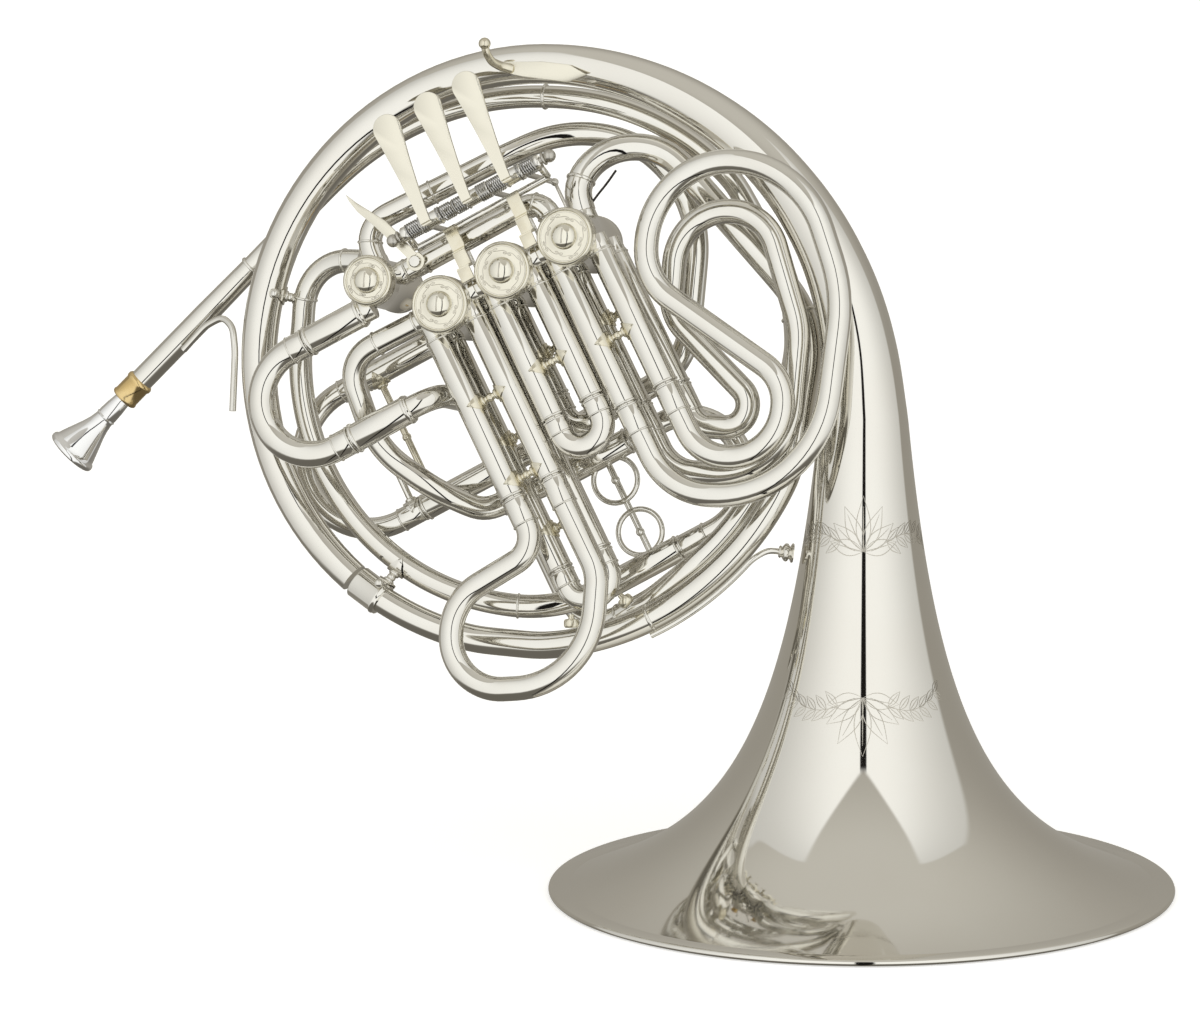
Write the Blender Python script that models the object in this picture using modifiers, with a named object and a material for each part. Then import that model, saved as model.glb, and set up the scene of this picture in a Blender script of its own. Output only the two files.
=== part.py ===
"""French horn: a double horn standing on its bell, in metres, +Z up, origin under the middle.

The horn has two frames. The bell is turned about a vertical axis. The tubing lies in a flat
body that leans back from that axis, so it is drawn in body coordinates (u, v, w): u to the
right, v towards the back, w up along the lean. The valves and slides are drawn in block
coordinates (e, d, v): e along the row of valves and d down along the valve slides.
"""

import math

import bmesh
import bpy
from mathutils import Matrix, Vector

MM = 0.001
GAP = 0.3

# Placing the frames.
BELL_X = 135.8
LEAN = math.radians(14.8)
RING_U = 171.0
PLANE_HEIGHT = 250.0
RING_RISE = 10.0
ROW_ANGLE = math.radians(31.0)
ROW_U = -37.7
ROW_W = 19.4

# Bell.
BELL_RADIUS = 155.0
BELL_HEIGHT = 237.7
FLARE_OFFSET = -10.84
FLARE_LENGTH = 40.84
FLARE_POWER = 0.845
BELL_WALL = 1.0
RIM_RADIUS = 2.0

# Rings of tubing about the body's centre.
RING = 144.2
TAIL_ARC = 171.0
FIRST_BRANCH_RADIUS = 6.8
BRANCH_V = 6.0
LEADPIPE_RING = 129.0
INNER_RING = 124.5
WALL = 0.6

# Valves: four in all, three in a row and the change valve above the row's left end.
VALVE_PITCH = 36.0
CASING_RADIUS = 14.2
CHANGE_CASING_RADIUS = 12.4
CASING_FRONT = -36.0
CASING_BACK = 8.0
ROTOR_RADIUS = 11.4
BORE_RADIUS = 11.9
HUB_RADIUS = 6.4
F_TIER = -30.0
BB_TIER = -8.0

# Valve slides.
LEG_OFFSET = 11.0
SLEEVE_RADIUS = 6.5
SLEEVE_BORE = 6.05
LEG_RADIUS = 5.5
BOW_RADIUS = 6.1
LEG_INSIDE = 42.0
SLEEVE_TOP = 15.6

# Tuning slides.
MAIN_V = -30.0
F_TUNING_V = 24.0
BB_TUNING_V = 19.0

# Levers.
ROD_D = -41.0
ROD_V = -34.0
ROD_RADIUS = 1.6
HUB_BORE = 2.1

TUBE_SIDES = 8
ARC_STEP = math.radians(30)
RING_STEP = 15.0

for old in list(bpy.data.objects):
    bpy.data.objects.remove(old)

parts = bpy.data.collections.new("french_horn")
cutters = bpy.data.collections.new("cutters")
bpy.context.scene.collection.children.link(parts)
bpy.context.scene.collection.children.link(cutters)


def material(name, colour, roughness, metallic=1.0):
    made = bpy.data.materials.new(name)
    made.use_nodes = True
    shader = made.node_tree.nodes["Principled BSDF"]
    shader.inputs["Base Color"].default_value = (*colour, 1.0)
    shader.inputs["Roughness"].default_value = roughness
    shader.inputs["Metallic"].default_value = metallic
    return made


SILVER = material("nickel_silver", (0.78, 0.76, 0.70), 0.12)
PLATE = material("cream_plate", (0.80, 0.77, 0.66), 0.25)
BRASS = material("brass", (0.72, 0.55, 0.27), 0.2)
STEEL = material("steel", (0.55, 0.55, 0.56), 0.3)
BRIGHT = material("silver_plate", (0.86, 0.86, 0.87), 0.08)


def empty(name, parent, place, rotation=(0, 0, 0)):
    made = bpy.data.objects.new(name, None)
    cutters.objects.link(made)
    made.parent = parent
    made.location = Vector(place) * MM
    made.rotation_euler = rotation
    return made


centre = Vector((
    BELL_X - RING_U,
    RING_RISE * math.sin(LEAN),
    PLANE_HEIGHT + RING_RISE * math.cos(LEAN),
))
BODY = empty("body", None, centre, (-LEAN, 0, 0))


def block(e, d, v, *bend):
    """Body coordinates of a point given in block coordinates, with its bend radius if any."""
    u = ROW_U + e * math.cos(ROW_ANGLE) + d * math.sin(ROW_ANGLE)
    w = ROW_W + e * math.sin(ROW_ANGLE) - d * math.cos(ROW_ANGLE)
    return (u, v, w, *bend)


def ring(radius, start, end, v_start, v_end, end_radius=None):
    """Points of an arc about the body's centre, from one angle to another in degrees."""
    if end_radius is None:
        end_radius = radius
    count = max(1, math.ceil(abs(end - start) / RING_STEP))
    found = []
    for index in range(count + 1):
        share = index / count
        angle = math.radians(start + (end - start) * share)
        reach = radius + (end_radius - radius) * share
        depth = v_start + (v_end - v_start) * share
        found.append((reach * math.cos(angle), depth, reach * math.sin(angle)))
    return found


def bend(corners):
    """A centre line in which each corner (u, v, w, radius) has become an arc."""
    line = [Vector(corners[0][:3])]
    for before, corner, after in zip(corners, corners[1:], corners[2:]):
        at = Vector(corner[:3])
        arrive = (at - Vector(before[:3])).normalized()
        leave = (Vector(after[:3]) - at).normalized()
        turn = arrive.angle(leave)
        if len(corner) < 4 or turn < 0.01:
            line.append(at)
            continue
        reach = corner[3] * math.tan(turn / 2)
        middle = at + (leave - arrive).normalized() * (corner[3] / math.cos(turn / 2))
        first = at - arrive * reach - middle
        across = (leave - arrive * math.cos(turn)).normalized() * corner[3]
        steps = max(1, math.ceil(turn / ARC_STEP))
        for index in range(steps + 1):
            angle = turn * index / steps
            spot = first * math.cos(angle) + arrive * corner[3] * math.sin(angle)
            line.append(middle + spot)
    line.append(Vector(corners[-1][:3]))
    kept = [line[0]]
    for point in line[1:]:
        if (point - kept[-1]).length > 0.2:
            kept.append(point)
    return kept


def at_length(table, length):
    """The radius at a length along the tube, read from (length, radius) steps."""
    for (a, radius_a), (b, radius_b) in zip(table, table[1:]):
        if length <= b:
            return radius_a + (radius_b - radius_a) * max(0.0, length - a) / (b - a)
    return table[-1][1]


def tube(name, line, radii, finish, wall=WALL, parent=BODY, origin=(0, 0, 0), sides=TUBE_SIDES):
    """A hollow tube, open at both ends, or a filled one when the wall is 0."""
    if not isinstance(radii, list):
        radii = [(0.0, radii), (1.0, radii)]
    data = bpy.data.curves.new(name, "CURVE")
    data.dimensions = "3D"
    data.bevel_depth = MM
    data.bevel_resolution = (sides - 4) // 2
    data.use_fill_caps = wall == 0
    spline = data.splines.new("POLY")
    spline.points.add(len(line) - 1)
    length = 0.0
    for index, point in enumerate(line):
        if index:
            length += (point - line[index - 1]).length
        place = (point - Vector(origin)) * MM
        spline.points[index].co = (*place, 1.0)
        spline.points[index].radius = at_length(radii, length)
    data.materials.append(finish)
    made = bpy.data.objects.new(name, data)
    parts.objects.link(made)
    made.parent = parent
    made.location = Vector(origin) * MM
    if wall:
        shell = made.modifiers.new("wall", "SOLIDIFY")
        shell.thickness = wall * MM
        shell.offset = -1.0
    return made


def rod(start, end, radius, sides=12, end_radius=None):
    """A closed cylinder or cone between two points, as a function that adds it to a bmesh."""

    def add(mesh):
        a = Vector(start[:3]) * MM
        b = Vector(end[:3]) * MM
        turn = (b - a).to_track_quat("Z", "Y").to_matrix().to_4x4()
        bmesh.ops.create_cone(
            mesh,
            cap_ends=True,
            segments=sides,
            radius1=radius * MM,
            radius2=(radius if end_radius is None else end_radius) * MM,
            depth=(b - a).length,
            matrix=Matrix.Translation((a + b) / 2) @ turn,
        )

    return add


def box(middle, size, turn=0.0):
    """A closed box turned about the v axis, as a function that adds it to a bmesh."""

    def add(mesh):
        place = Matrix.Translation(Vector(middle[:3]) * MM) @ Matrix.Rotation(-turn, 4, "Y")
        scale = Matrix.Diagonal((*(Vector(size) * MM), 1.0))
        bmesh.ops.create_cube(mesh, size=1.0, matrix=place @ scale)

    return add


def ball(middle, radius):
    def add(mesh):
        place = Matrix.Translation(Vector(middle[:3]) * MM)
        bmesh.ops.create_uvsphere(mesh, u_segments=10, v_segments=6, radius=radius * MM, matrix=place)

    return add


def hoop(middle, radius, wire):
    """A ring of wire lying in the body's plane."""

    def add(mesh):
        bpy.ops.mesh.primitive_torus_add(
            major_segments=20, minor_segments=6, major_radius=radius * MM, minor_radius=wire * MM
        )
        made = bpy.context.active_object
        data = made.data
        data.transform(Matrix.Translation(Vector(middle[:3]) * MM) @ Matrix.Rotation(math.pi / 2, 4, "X"))
        mesh.from_mesh(data)
        bpy.data.objects.remove(made)

    return add


def mesh_of(name, shapes, origin):
    mesh = bmesh.new()
    for shape in shapes:
        shape(mesh)
    bmesh.ops.translate(mesh, verts=mesh.verts, vec=-Vector(origin) * MM)
    data = bpy.data.meshes.new(name)
    mesh.to_mesh(data)
    mesh.free()
    return data


def place_helper(name, data, origin, parent):
    helper = bpy.data.objects.new(name, data)
    cutters.objects.link(helper)
    helper.parent = parent
    helper.location = Vector(origin) * MM
    helper.hide_render = True
    helper.display_type = "WIRE"
    return helper


def boolean(made, operation, helper):
    change = made.modifiers.new(operation.lower(), "BOOLEAN")
    change.operation = operation
    change.object = helper
    change.use_self = True


def solid(name, finish, joined, cut=(), origin=(0, 0, 0), parent=BODY):
    """One closed body: the shapes of the first list joined, less those of the second."""
    data = mesh_of(name, joined[:1], origin)
    data.materials.append(finish)
    data.shade_smooth()
    data.set_sharp_from_angle(angle=math.radians(40))
    made = bpy.data.objects.new(name, data)
    parts.objects.link(made)
    made.parent = parent
    made.location = Vector(origin) * MM
    for index, shape in enumerate(joined[1:]):
        helper = place_helper(f"{name}_join_{index}", mesh_of(name, [shape], origin), origin, parent)
        boolean(made, "UNION", helper)
    for index, shape in enumerate(cut):
        helper = place_helper(f"{name}_cut_{index}", mesh_of(name, [shape], origin), origin, parent)
        boolean(made, "DIFFERENCE", helper)
    return made


def turned(name, finish, profile, steps, parent, origin=(0, 0, 0)):
    """A closed profile of (radius, height) points turned about the parent's Z axis."""
    data = bpy.data.meshes.new(name)
    points = [(radius * MM, 0.0, height * MM) for radius, height in profile]
    edges = [(index, (index + 1) % len(points)) for index in range(len(points))]
    data.from_pydata(points, edges, [])
    data.materials.append(finish)
    made = bpy.data.objects.new(name, data)
    parts.objects.link(made)
    made.parent = parent
    made.location = Vector(origin) * MM
    screw = made.modifiers.new("turn", "SCREW")
    screw.steps = steps
    screw.render_steps = steps
    screw.use_merge_vertices = True
    screw.merge_threshold = 0.00001
    return made


# ---------------------------------------------------------------- bell


def bell_radius(height):
    reach = (FLARE_LENGTH / (height + FLARE_LENGTH)) ** FLARE_POWER
    return (BELL_RADIUS - FLARE_OFFSET) * reach + FLARE_OFFSET


def make_bell():
    levels = 10
    heights = [BELL_HEIGHT * (index / levels) ** 1.9 for index in range(levels, 0, -1)]
    outer = [(bell_radius(height + RIM_RADIUS), height + RIM_RADIUS) for height in heights]
    outer[0] = (bell_radius(BELL_HEIGHT), BELL_HEIGHT)
    rim = BELL_RADIUS - RIM_RADIUS
    lip = [(BELL_RADIUS - 1.2, 2 * RIM_RADIUS - 0.4), (BELL_RADIUS, RIM_RADIUS)]
    lip += [(BELL_RADIUS - 0.6, 0.0), (rim - 1.4, 0.0), (rim - 2.0, RIM_RADIUS)]
    inner = [(radius - BELL_WALL, height + 0.2) for radius, height in reversed(outer)]
    inner[-1] = (outer[0][0] - BELL_WALL, BELL_HEIGHT)
    stand = empty("bell_axis", None, (BELL_X, 0, 0))
    turned("bell", SILVER, outer + lip + inner, 30, stand)


def tail_line():
    """The bell's tail: up the bell axis, leaning into the body's plane, then a quarter arc."""
    arc_w = RING - TAIL_ARC
    blend = (PLANE_HEIGHT - BELL_HEIGHT - GAP) * math.cos(LEAN)
    start = Vector((RING_U, blend * math.tan(LEAN), -RING_RISE - blend))
    line = [start, start + Vector((0, -math.sin(LEAN), math.cos(LEAN))) * 3.0]
    steps = 11
    for index in range(steps):
        angle = math.radians(5.0 + 85.0 * index / (steps - 1))
        u = TAIL_ARC * math.cos(angle)
        w = arc_w + TAIL_ARC * math.sin(angle)
        above = max(0.0, blend - RING_RISE - w)
        line.append(Vector((u, above**2 * math.tan(LEAN) / (4 * blend), w)))
    return line


TAIL_RADII = [(0, 21.4), (82, 15.6), (175, 11.8), (265, 9.9), (492, 8.9), (640, 7.6)]


def make_outer_ring():
    quarter = [Vector(point) for point in ring(RING, 90, 180, 0, 0)[1:]]
    lower = [Vector(point) for point in ring(RING, 180, 234, 0, 0)[1:]]
    tube("bell_tail", tail_line() + quarter + lower, TAIL_RADII, SILVER)
    solid(
        "main_ferrule",
        SILVER,
        [rod(ring(RING, 235.2, 235.2, 0, 0)[0], ring(RING, 241.5, 241.5, 0, 0)[0], 8.2)],
        [rod(ring(RING, 232, 232, 0, 0)[0], ring(RING, 244, 244, 0, 0)[0], 6.6)],
    )
    bottom = ring(RING, 243, 262, 1.0, BRANCH_V) + ring(RING, 275, 340, BRANCH_V, BRANCH_V, RING - 1.5)
    top = [
        (141.5, BRANCH_V + 2, 25.6, 50),
        (57.8, BRANCH_V, 106, 27.5),
        (19, 0.0, 106, 27.5),
        block(78.6, -24, BB_TIER, 8),
        block(77.4, -16.2, BB_TIER),
    ]
    tube("first_branch", bend(bottom + top), FIRST_BRANCH_RADIUS, SILVER)


LEADPIPE_AIM = Vector((0.665, 0.0, 0.747))
MOUTH = Vector((-220.0, 17.0, -34.7))


def make_leadpipe():
    start = MOUTH + LEADPIPE_AIM * 26.4
    path = [
        tuple(start),
        (-74.6, 15.5, LEADPIPE_RING, 150),
        *ring(LEADPIPE_RING, 90, 45, 14, 19),
        *ring(LEADPIPE_RING, 22, 5, 21.5, 20),
        *ring(LEADPIPE_RING + 1.5, -18, -48, 13, 11.6, 131.5),
        *ring(LEADPIPE_RING + 5, -60, -66, 14.5, 19),
        block(-24, 168, 31, 24),
        block(-24, 36.7, 32, 12),
        block(-24, 36.7, MAIN_V, 12),
        block(-39.4, 36.7, MAIN_V),
    ]
    tube("leadpipe", bend(path), [(0, 5.2), (150, 5.6), (1200, 6.0)], SILVER)


def make_mouthpiece():
    aim = LEADPIPE_AIM
    solid(
        "receiver",
        BRASS,
        [rod(MOUTH, MOUTH + aim * 14, 7.0, 16), rod(MOUTH + aim * 13, MOUTH + aim * 26, 6.2, 12)],
        [rod(MOUTH - aim, MOUTH + aim * 27, 4.7, 12)],
    )
    tilt = math.atan2(aim.x, aim.z)
    holder = empty("mouthpiece_axis", BODY, MOUTH, (0, tilt + math.pi, 0))
    outer = [(13.0, 39.0), (13.2, 37.0), (11.6, 33.0), (7.6, 22.0), (5.0, 8.0), (5.0, 1.5)]
    outer += [(4.15, 1.0), (3.7, -20.0)]
    inner = [(2.8, -20.0), (2.2, 14.0), (4.4, 22.0), (8.2, 34.0), (9.4, 39.0)]
    turned("mouthpiece", BRIGHT, outer + inner, 20, holder)


# ---------------------------------------------------------------- valves

VALVES = {
    "first": (0.0, 0.0),
    "second": (VALVE_PITCH, 0.0),
    "third": (2 * VALVE_PITCH, 0.0),
    "change": (-28.0, -28.0),
}


def ports(name):
    """Each port's (e, d) inner end, (e, d) outer end and depth, from the valve's centre."""
    half = VALVE_PITCH / 2 - GAP / 2
    legs = [((side, 7.0), (side, SLEEVE_TOP - GAP)) for side in (-LEG_OFFSET, LEG_OFFSET)]
    found = []
    if name != "change":
        found += [(*leg, depth) for leg in legs for depth in (F_TIER, BB_TIER)]
    if name in ("first", "second"):
        found += [((8.0, 0.0), (half, 0.0), depth) for depth in (F_TIER, BB_TIER)]
    if name in ("second", "third"):
        found += [((-8.0, 0.0), (-half, 0.0), depth) for depth in (F_TIER, BB_TIER)]
    if name == "first":
        found.append(((-8.0, 0.0), (-15.2, 0.0), -28.0))
    if name == "third":
        found.append(((5.4, -4.0), (5.4, -14.9), BB_TIER))
        found.append(((-8.0, -4.0), (-8.0, -15.2), -17.0))
    if name == "change":
        found.append(((6.0, 0.0), (13.6, 0.0), -17.0))
        found.append(((0.0, -6.0), (0.0, -13.6), -10.0))
        found.append(((-6.0, 10.4), (-12.6, 10.4), MAIN_V))
    return found


def make_valve(name, centre_e, centre_d):
    change = name == "change"
    radius = CHANGE_CASING_RADIUS if change else CASING_RADIUS
    shrink = radius - CASING_RADIUS
    bore = BORE_RADIUS + shrink

    def spot(v, e=0.0, d=0.0):
        return block(centre_e + e, centre_d + d, v)

    stubs = [
        rod(spot(v, *inner), spot(v, *outer), 5.9, 10)
        for inner, outer, v in ports(name)
    ]
    solid(
        f"{name}_casing",
        SILVER,
        [rod(spot(CASING_FRONT), spot(CASING_BACK), radius, 28), *stubs],
        [rod(spot(CASING_FRONT - 1), spot(CASING_BACK + 1), bore, 24)],
    )
    solid(
        f"{name}_front_cap",
        PLATE,
        [
            rod(spot(-42.0), spot(CASING_FRONT - GAP), radius, 24),
            rod(spot(-46.5), spot(-41.0), 6.0, 12, 6.0),
        ],
    )
    solid(
        f"{name}_bearing_plate",
        SILVER,
        [rod(spot(CASING_BACK + GAP), spot(CASING_BACK + 3), radius, 24)],
        [rod(spot(CASING_BACK), spot(CASING_BACK + 4), 3.2, 12)],
    )
    hub = HUB_RADIUS if not change else 6.0
    solid(
        f"{name}_rotor",
        BRASS,
        [
            rod(spot(CASING_FRONT + 0.4), spot(CASING_BACK - 0.4), ROTOR_RADIUS + shrink, 20),
            rod(spot(CASING_BACK - 2), spot(21.0), 2.8, 10),
            rod(spot(12.0), spot(20.0), hub, 14),
        ],
        [
            rod(spot(F_TIER, 0, 15.5), spot(F_TIER, 0, 5.5), 5.0, 8),
            rod(spot(F_TIER, 0, -15.5), spot(F_TIER, 0, -5.5), 5.0, 8),
        ],
        origin=spot(0.0),
    )


# ---------------------------------------------------------------- slides


def sleeves(name, legs, v, top, bottom, braces, along=False, radius=SLEEVE_RADIUS, extra=()):
    """Two fixed outer tubes joined by braces. Along is True where they run along the row."""

    def spot(across, length):
        return block(length, across, v) if along else block(across, length, v)

    tops = top if isinstance(top, tuple) else (top, top)
    joined = [rod(spot(leg, start), spot(leg, bottom), radius) for leg, start in zip(legs, tops)]
    joined += [rod(spot(legs[0], at), spot(legs[1], at), 1.6, 8) for at in braces]
    bore = radius - SLEEVE_RADIUS + SLEEVE_BORE
    cut = [
        rod(spot(leg, start - 1 if start < bottom else start + 1),
            spot(leg, bottom + 1 if start < bottom else bottom - 1), bore)
        for leg, start in zip(legs, tops)
    ]
    return solid(name, SILVER, joined + list(extra), cut)


def crook(name, corners, leg, origin, bow=BOW_RADIUS):
    """A slide's bow with its two inner legs, whose thinner ends run inside the sleeves."""
    line = bend(corners)
    total = sum((b - a).length for a, b in zip(line, line[1:]))
    inner = LEG_RADIUS + bow - BOW_RADIUS
    line = [line[0], line[0].lerp(line[1], (leg - 0.5) / (line[1] - line[0]).length)] + line[1:]
    ahead = (line[-1] - line[-2]).length
    line = line[:-1] + [line[-1].lerp(line[-2], (leg - 0.5) / ahead), line[-1]]
    steps = [(0, inner), (leg - 0.5, inner), (leg + 0.3, bow)]
    steps += [(total - leg - 0.3, bow), (total - leg + 0.5, inner), (total, inner)]
    return tube(name, line, steps, SILVER, origin=origin)


def make_valve_slides():
    left = [side - LEG_OFFSET for side in (0.0, VALVE_PITCH, 2 * VALVE_PITCH)]
    right = [side + LEG_OFFSET for side in (0.0, VALVE_PITCH, 2 * VALVE_PITCH)]
    ends = {"f": (101.0, 75.6, 87.0), "bb": (140.0, 62.0, 86.0)}
    braces = {"f": ((51.2,), (50.0,), (54.0,)), "bb": ((70.0, 120.0), (40.0,), (40.0,))}
    tiers = {"f": F_TIER, "bb": BB_TIER}
    names = ("first", "second", "third")
    for tier, depth in tiers.items():
        for index, name in enumerate(names):
            sleeves(
                f"{tier}_{name}_sleeves",
                (left[index], right[index]),
                depth,
                SLEEVE_TOP,
                ends[tier][index],
                braces[tier][index],
            )
    bows = {
        ("f", 0): [
            (19.5, -97.0, 14), (-22.5, -125.5, 28), (-20.5, -170.5, 26),
            (51, -162.0, 42), (51, -106.8, 24),
        ],
        ("f", 2): [
            (84.3, -65, 36), (160, -65, 56), (165, 38, 75), (139, 99, 50), (62.8, 99, 42),
            (62.8, 38.4, 30), (139, -6.2, 22), (139, -46, 26), (98.5, -46, 24),
        ],
        ("bb", 2): [
            (77.5, -53.6, 22), (137, -54, 38), (138, 20, 45), (116, 76, 25), (71, 76, 27),
            (71, 23.4, 24), (114.5, -14.4, 11), (114.5, -30.5, 11), (89.3, -30.5, 12),
        ],
    }
    for tier, depth in tiers.items():
        for index, name in enumerate(names):
            mouth = ends[tier][index]
            reach = min(LEG_INSIDE, mouth - SLEEVE_TOP - 8)
            start = block(left[index], mouth - reach, depth)
            end = block(right[index], mouth - reach, depth)
            if (tier, index) in bows:
                bow = [(u, depth, w, radius) for u, w, radius in bows[tier, index]]
                origin = block(index * VALVE_PITCH, mouth, depth)
            else:
                low = mouth + 20.0
                bow = [
                    block(left[index], low, depth, LEG_OFFSET - 0.2),
                    block(right[index], low, depth, LEG_OFFSET - 0.2),
                ]
                origin = block(index * VALVE_PITCH, low, depth)
            crook(f"{tier}_{name}_slide", [start, *bow, end], reach + 0.6, origin)


def make_tuning_slides():
    for name, d, start in (("upper", -17.6, -41.2), ("lower", 36.7, -39.8)):
        solid(
            f"main_tuning_{name}_sleeve",
            SILVER,
            [rod(block(start, d, MAIN_V), block(-72.0, d, MAIN_V), 7.1)],
            [rod(block(start + 1, d, MAIN_V), block(-73.0, d, MAIN_V), 6.65)],
        )
    u_bend("main_tuning_slide", -17.6, 36.7, MAIN_V, -72.0, -82.0, 22.0, 6.7)
    pull = [
        rod(block(26, 92.0, F_TUNING_V), block(26, 152.0, F_TUNING_V), 1.7, 8),
        hoop(block(26, 106.5, F_TUNING_V), 11.4, 1.2),
        hoop(block(26, 135.5, F_TUNING_V), 11.4, 1.2),
    ]
    sleeves("f_tuning_sleeves", (92.0, 152.0), F_TUNING_V, (-1.6, -3.0), 41.0, (), True, extra=pull)
    u_bend("f_tuning_slide", 92.0, 152.0, F_TUNING_V, 41.0, 60.0, 30.0, 6.1)
    sleeves("bb_tuning_sleeves", (2.2, 74.3), BB_TUNING_V, (-17.0, -20.0), -67.0, (-60.0,), True)
    u_bend("bb_tuning_slide", 2.2, 74.3, BB_TUNING_V, -67.0, -80.6, 30.0, 6.1)


def u_bend(name, upper, lower, v, mouth, bow_e, reach, bow):
    """A tuning slide: two legs along the row, and a half circle past the sleeves' mouths."""
    way = 1.0 if bow_e > mouth else -1.0
    half = (lower - upper) / 2
    far = bow_e + way * half
    corners = [
        block(mouth - way * reach, upper, v),
        block(far, upper, v, half - 0.2),
        block(far, lower, v, half - 0.2),
        block(mouth - way * reach, lower, v),
    ]
    crook(name, corners, reach + 0.6, block(bow_e, (upper + lower) / 2, v), bow)


def make_branches():
    tube("change_to_bb_tube", bend([
        block(-28, -28 - 13.9, -10),
        block(-28, -60, -10, 14),
        block(50, -60, 2),
        block(98, -60, 18, 60),
        (73.5, 22, 87.5, 60),
        (73.0, 19, -0.8, 36),
        block(-19.6, 74.3, BB_TUNING_V),
    ]), 5.9, SILVER)
    tube("change_to_third_tube", bend([
        block(-14.1, -28, -17),
        block(64, -28, -17, 8.5),
        block(64, -15.5, -17),
    ]), 5.9, SILVER)
    tube("f_inner_ring", bend([
        (-92.0, -4, 40.5),
        (-INNER_RING, 3, 40.5, 25),
        *ring(INNER_RING, 176, 264, 6, 8),
        (15.1, 14, -126.2, 70),
        block(-4.4, 152, F_TUNING_V),
    ]), 5.8, SILVER)
    tube("first_to_f_tube", bend([
        block(-15.8, 0, -28),
        block(-40, -0.5, -28),
        block(-59, -1, -27, 18),
        block(-69, 42, -9, 42),
        block(-52, 74, -4, 40),
        block(-38, 92, 10, 14),
        block(-3.0, 92, F_TUNING_V),
    ]), 5.9, SILVER)


# ---------------------------------------------------------------- levers

LEVER_E = (14.0, 37.5, 60.0)
ARM_E = (8.4, 44.4, 63.6)
ARM_V = 23.2


def paddle(e, tip_e):
    """A finger plate: a narrow stem at the hinge, widening to a round-ended touch."""
    knee = block(e, ROD_D + 3, -49.5)
    neck = block(e + (tip_e - e) * 0.6, -72, -51.0)
    return [
        box(block(e, ROD_D + 1.0, -41.5), (5.0, 13.0, 4.0), ROW_ANGLE),
        rod(knee, neck, 1.6, 8, 2.4),
        rod(neck, block(tip_e, -84, -51.0), 2.4, 8, 5.0),
        rod(block(tip_e, -88, -52.2), block(tip_e, -88, -49.8), 7.0, 14),
    ]


def make_levers():
    names = ("first", "second", "third")
    for name, e, arm_e, tip_shift in zip(names, LEVER_E, ARM_E, (3.0, 3.0, 2.5)):
        low = min(e - 5, arm_e - 2)
        high = max(e + 5, arm_e + 2)
        origin = block(e, ROD_D, ROD_V)
        solid(
            f"{name}_lever",
            PLATE,
            [
                rod(block(low, ROD_D, ROD_V), block(high, ROD_D, ROD_V), 4.0, 12),
                *paddle(e, e + tip_shift),
                rod(block(arm_e, ROD_D, ROD_V + 2), block(arm_e, ROD_D, ARM_V), 1.5, 8),
                rod(block(arm_e, ROD_D - 1, ARM_V), block(arm_e, 4, ARM_V), 0.9, 6),
            ],
            [rod(block(low - 1, ROD_D, ROD_V), block(high + 1, ROD_D, ROD_V), HUB_BORE, 12)],
            origin=origin,
        )
    solid(
        "hinge_rod",
        STEEL,
        [
            rod(block(-7, ROD_D, ROD_V), block(79, ROD_D, ROD_V), ROD_RADIUS, 10),
            ball(block(-8.6, ROD_D, ROD_V), 3.4),
            ball(block(80.2, ROD_D, ROD_V), 3.4),
        ],
    )
    for name, start, end in (("first", 20.0, 24.5), ("second", 47.2, 53.0), ("third", 66.4, 71.5)):
        solid(
            f"{name}_lever_spring",
            STEEL,
            [rod(block(start, ROD_D, ROD_V), block(end, ROD_D, ROD_V), 3.2, 12)],
            [rod(block(start - 1, ROD_D, ROD_V), block(end + 1, ROD_D, ROD_V), HUB_BORE, 12)],
        )
    bar_d = -33.5
    bar_v = -26.5
    shapes = [rod(block(-2, bar_d, bar_v), block(74, bar_d, bar_v), 1.8, 8)]
    cuts = []
    for e in (-2.0, 73.8):
        shapes.append(rod(block(e, bar_d, bar_v), block(e, ROD_D, ROD_V), 1.8, 8))
        shapes.append(rod(block(e - 1.8, ROD_D, ROD_V), block(e + 1.8, ROD_D, ROD_V), 3.6, 12))
        cuts.append(rod(block(e - 4, ROD_D, ROD_V), block(e + 4, ROD_D, ROD_V), HUB_BORE, 12))
    for e in (18.0, 54.0):
        shapes.append(box(block(e, -21, -26.2), (6.4, 1.8, 27.0), ROW_ANGLE))
        shapes.append(box(block(e, -8.2, -31.0), (6.4, 9.8, 1.8), ROW_ANGLE))
    solid("lever_bracket", SILVER, shapes, cuts)


THUMB_E = -5.5
THUMB_D = -28.0


def make_thumb_lever():
    pivot = block(THUMB_E, THUMB_D, -26.0)
    solid(
        "thumb_lever",
        PLATE,
        [
            rod(block(THUMB_E, THUMB_D, -25.0), block(THUMB_E, THUMB_D, -27.2), 4.6, 12),
            rod(block(THUMB_E, THUMB_D, -26.1), block(-16, -58, -24.0), 1.1, 8, 1.1),
            rod(block(-16, -57, -24.0), block(-25, -74, -18.0), 2.6, 8, 1.0),
        ],
        [rod(block(THUMB_E, THUMB_D, -20), block(THUMB_E, THUMB_D, -30), 2.2, 10)],
        origin=pivot,
    )
    solid(
        "thumb_lever_pivot",
        SILVER,
        [
            rod(block(THUMB_E, THUMB_D, -23.3), block(THUMB_E, THUMB_D, -28.6), 1.7, 10),
            rod(block(THUMB_E, THUMB_D, -27.6), block(THUMB_E, THUMB_D, -28.8), 3.0, 10),
        ],
    )


# ---------------------------------------------------------------- braces and hooks


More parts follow.
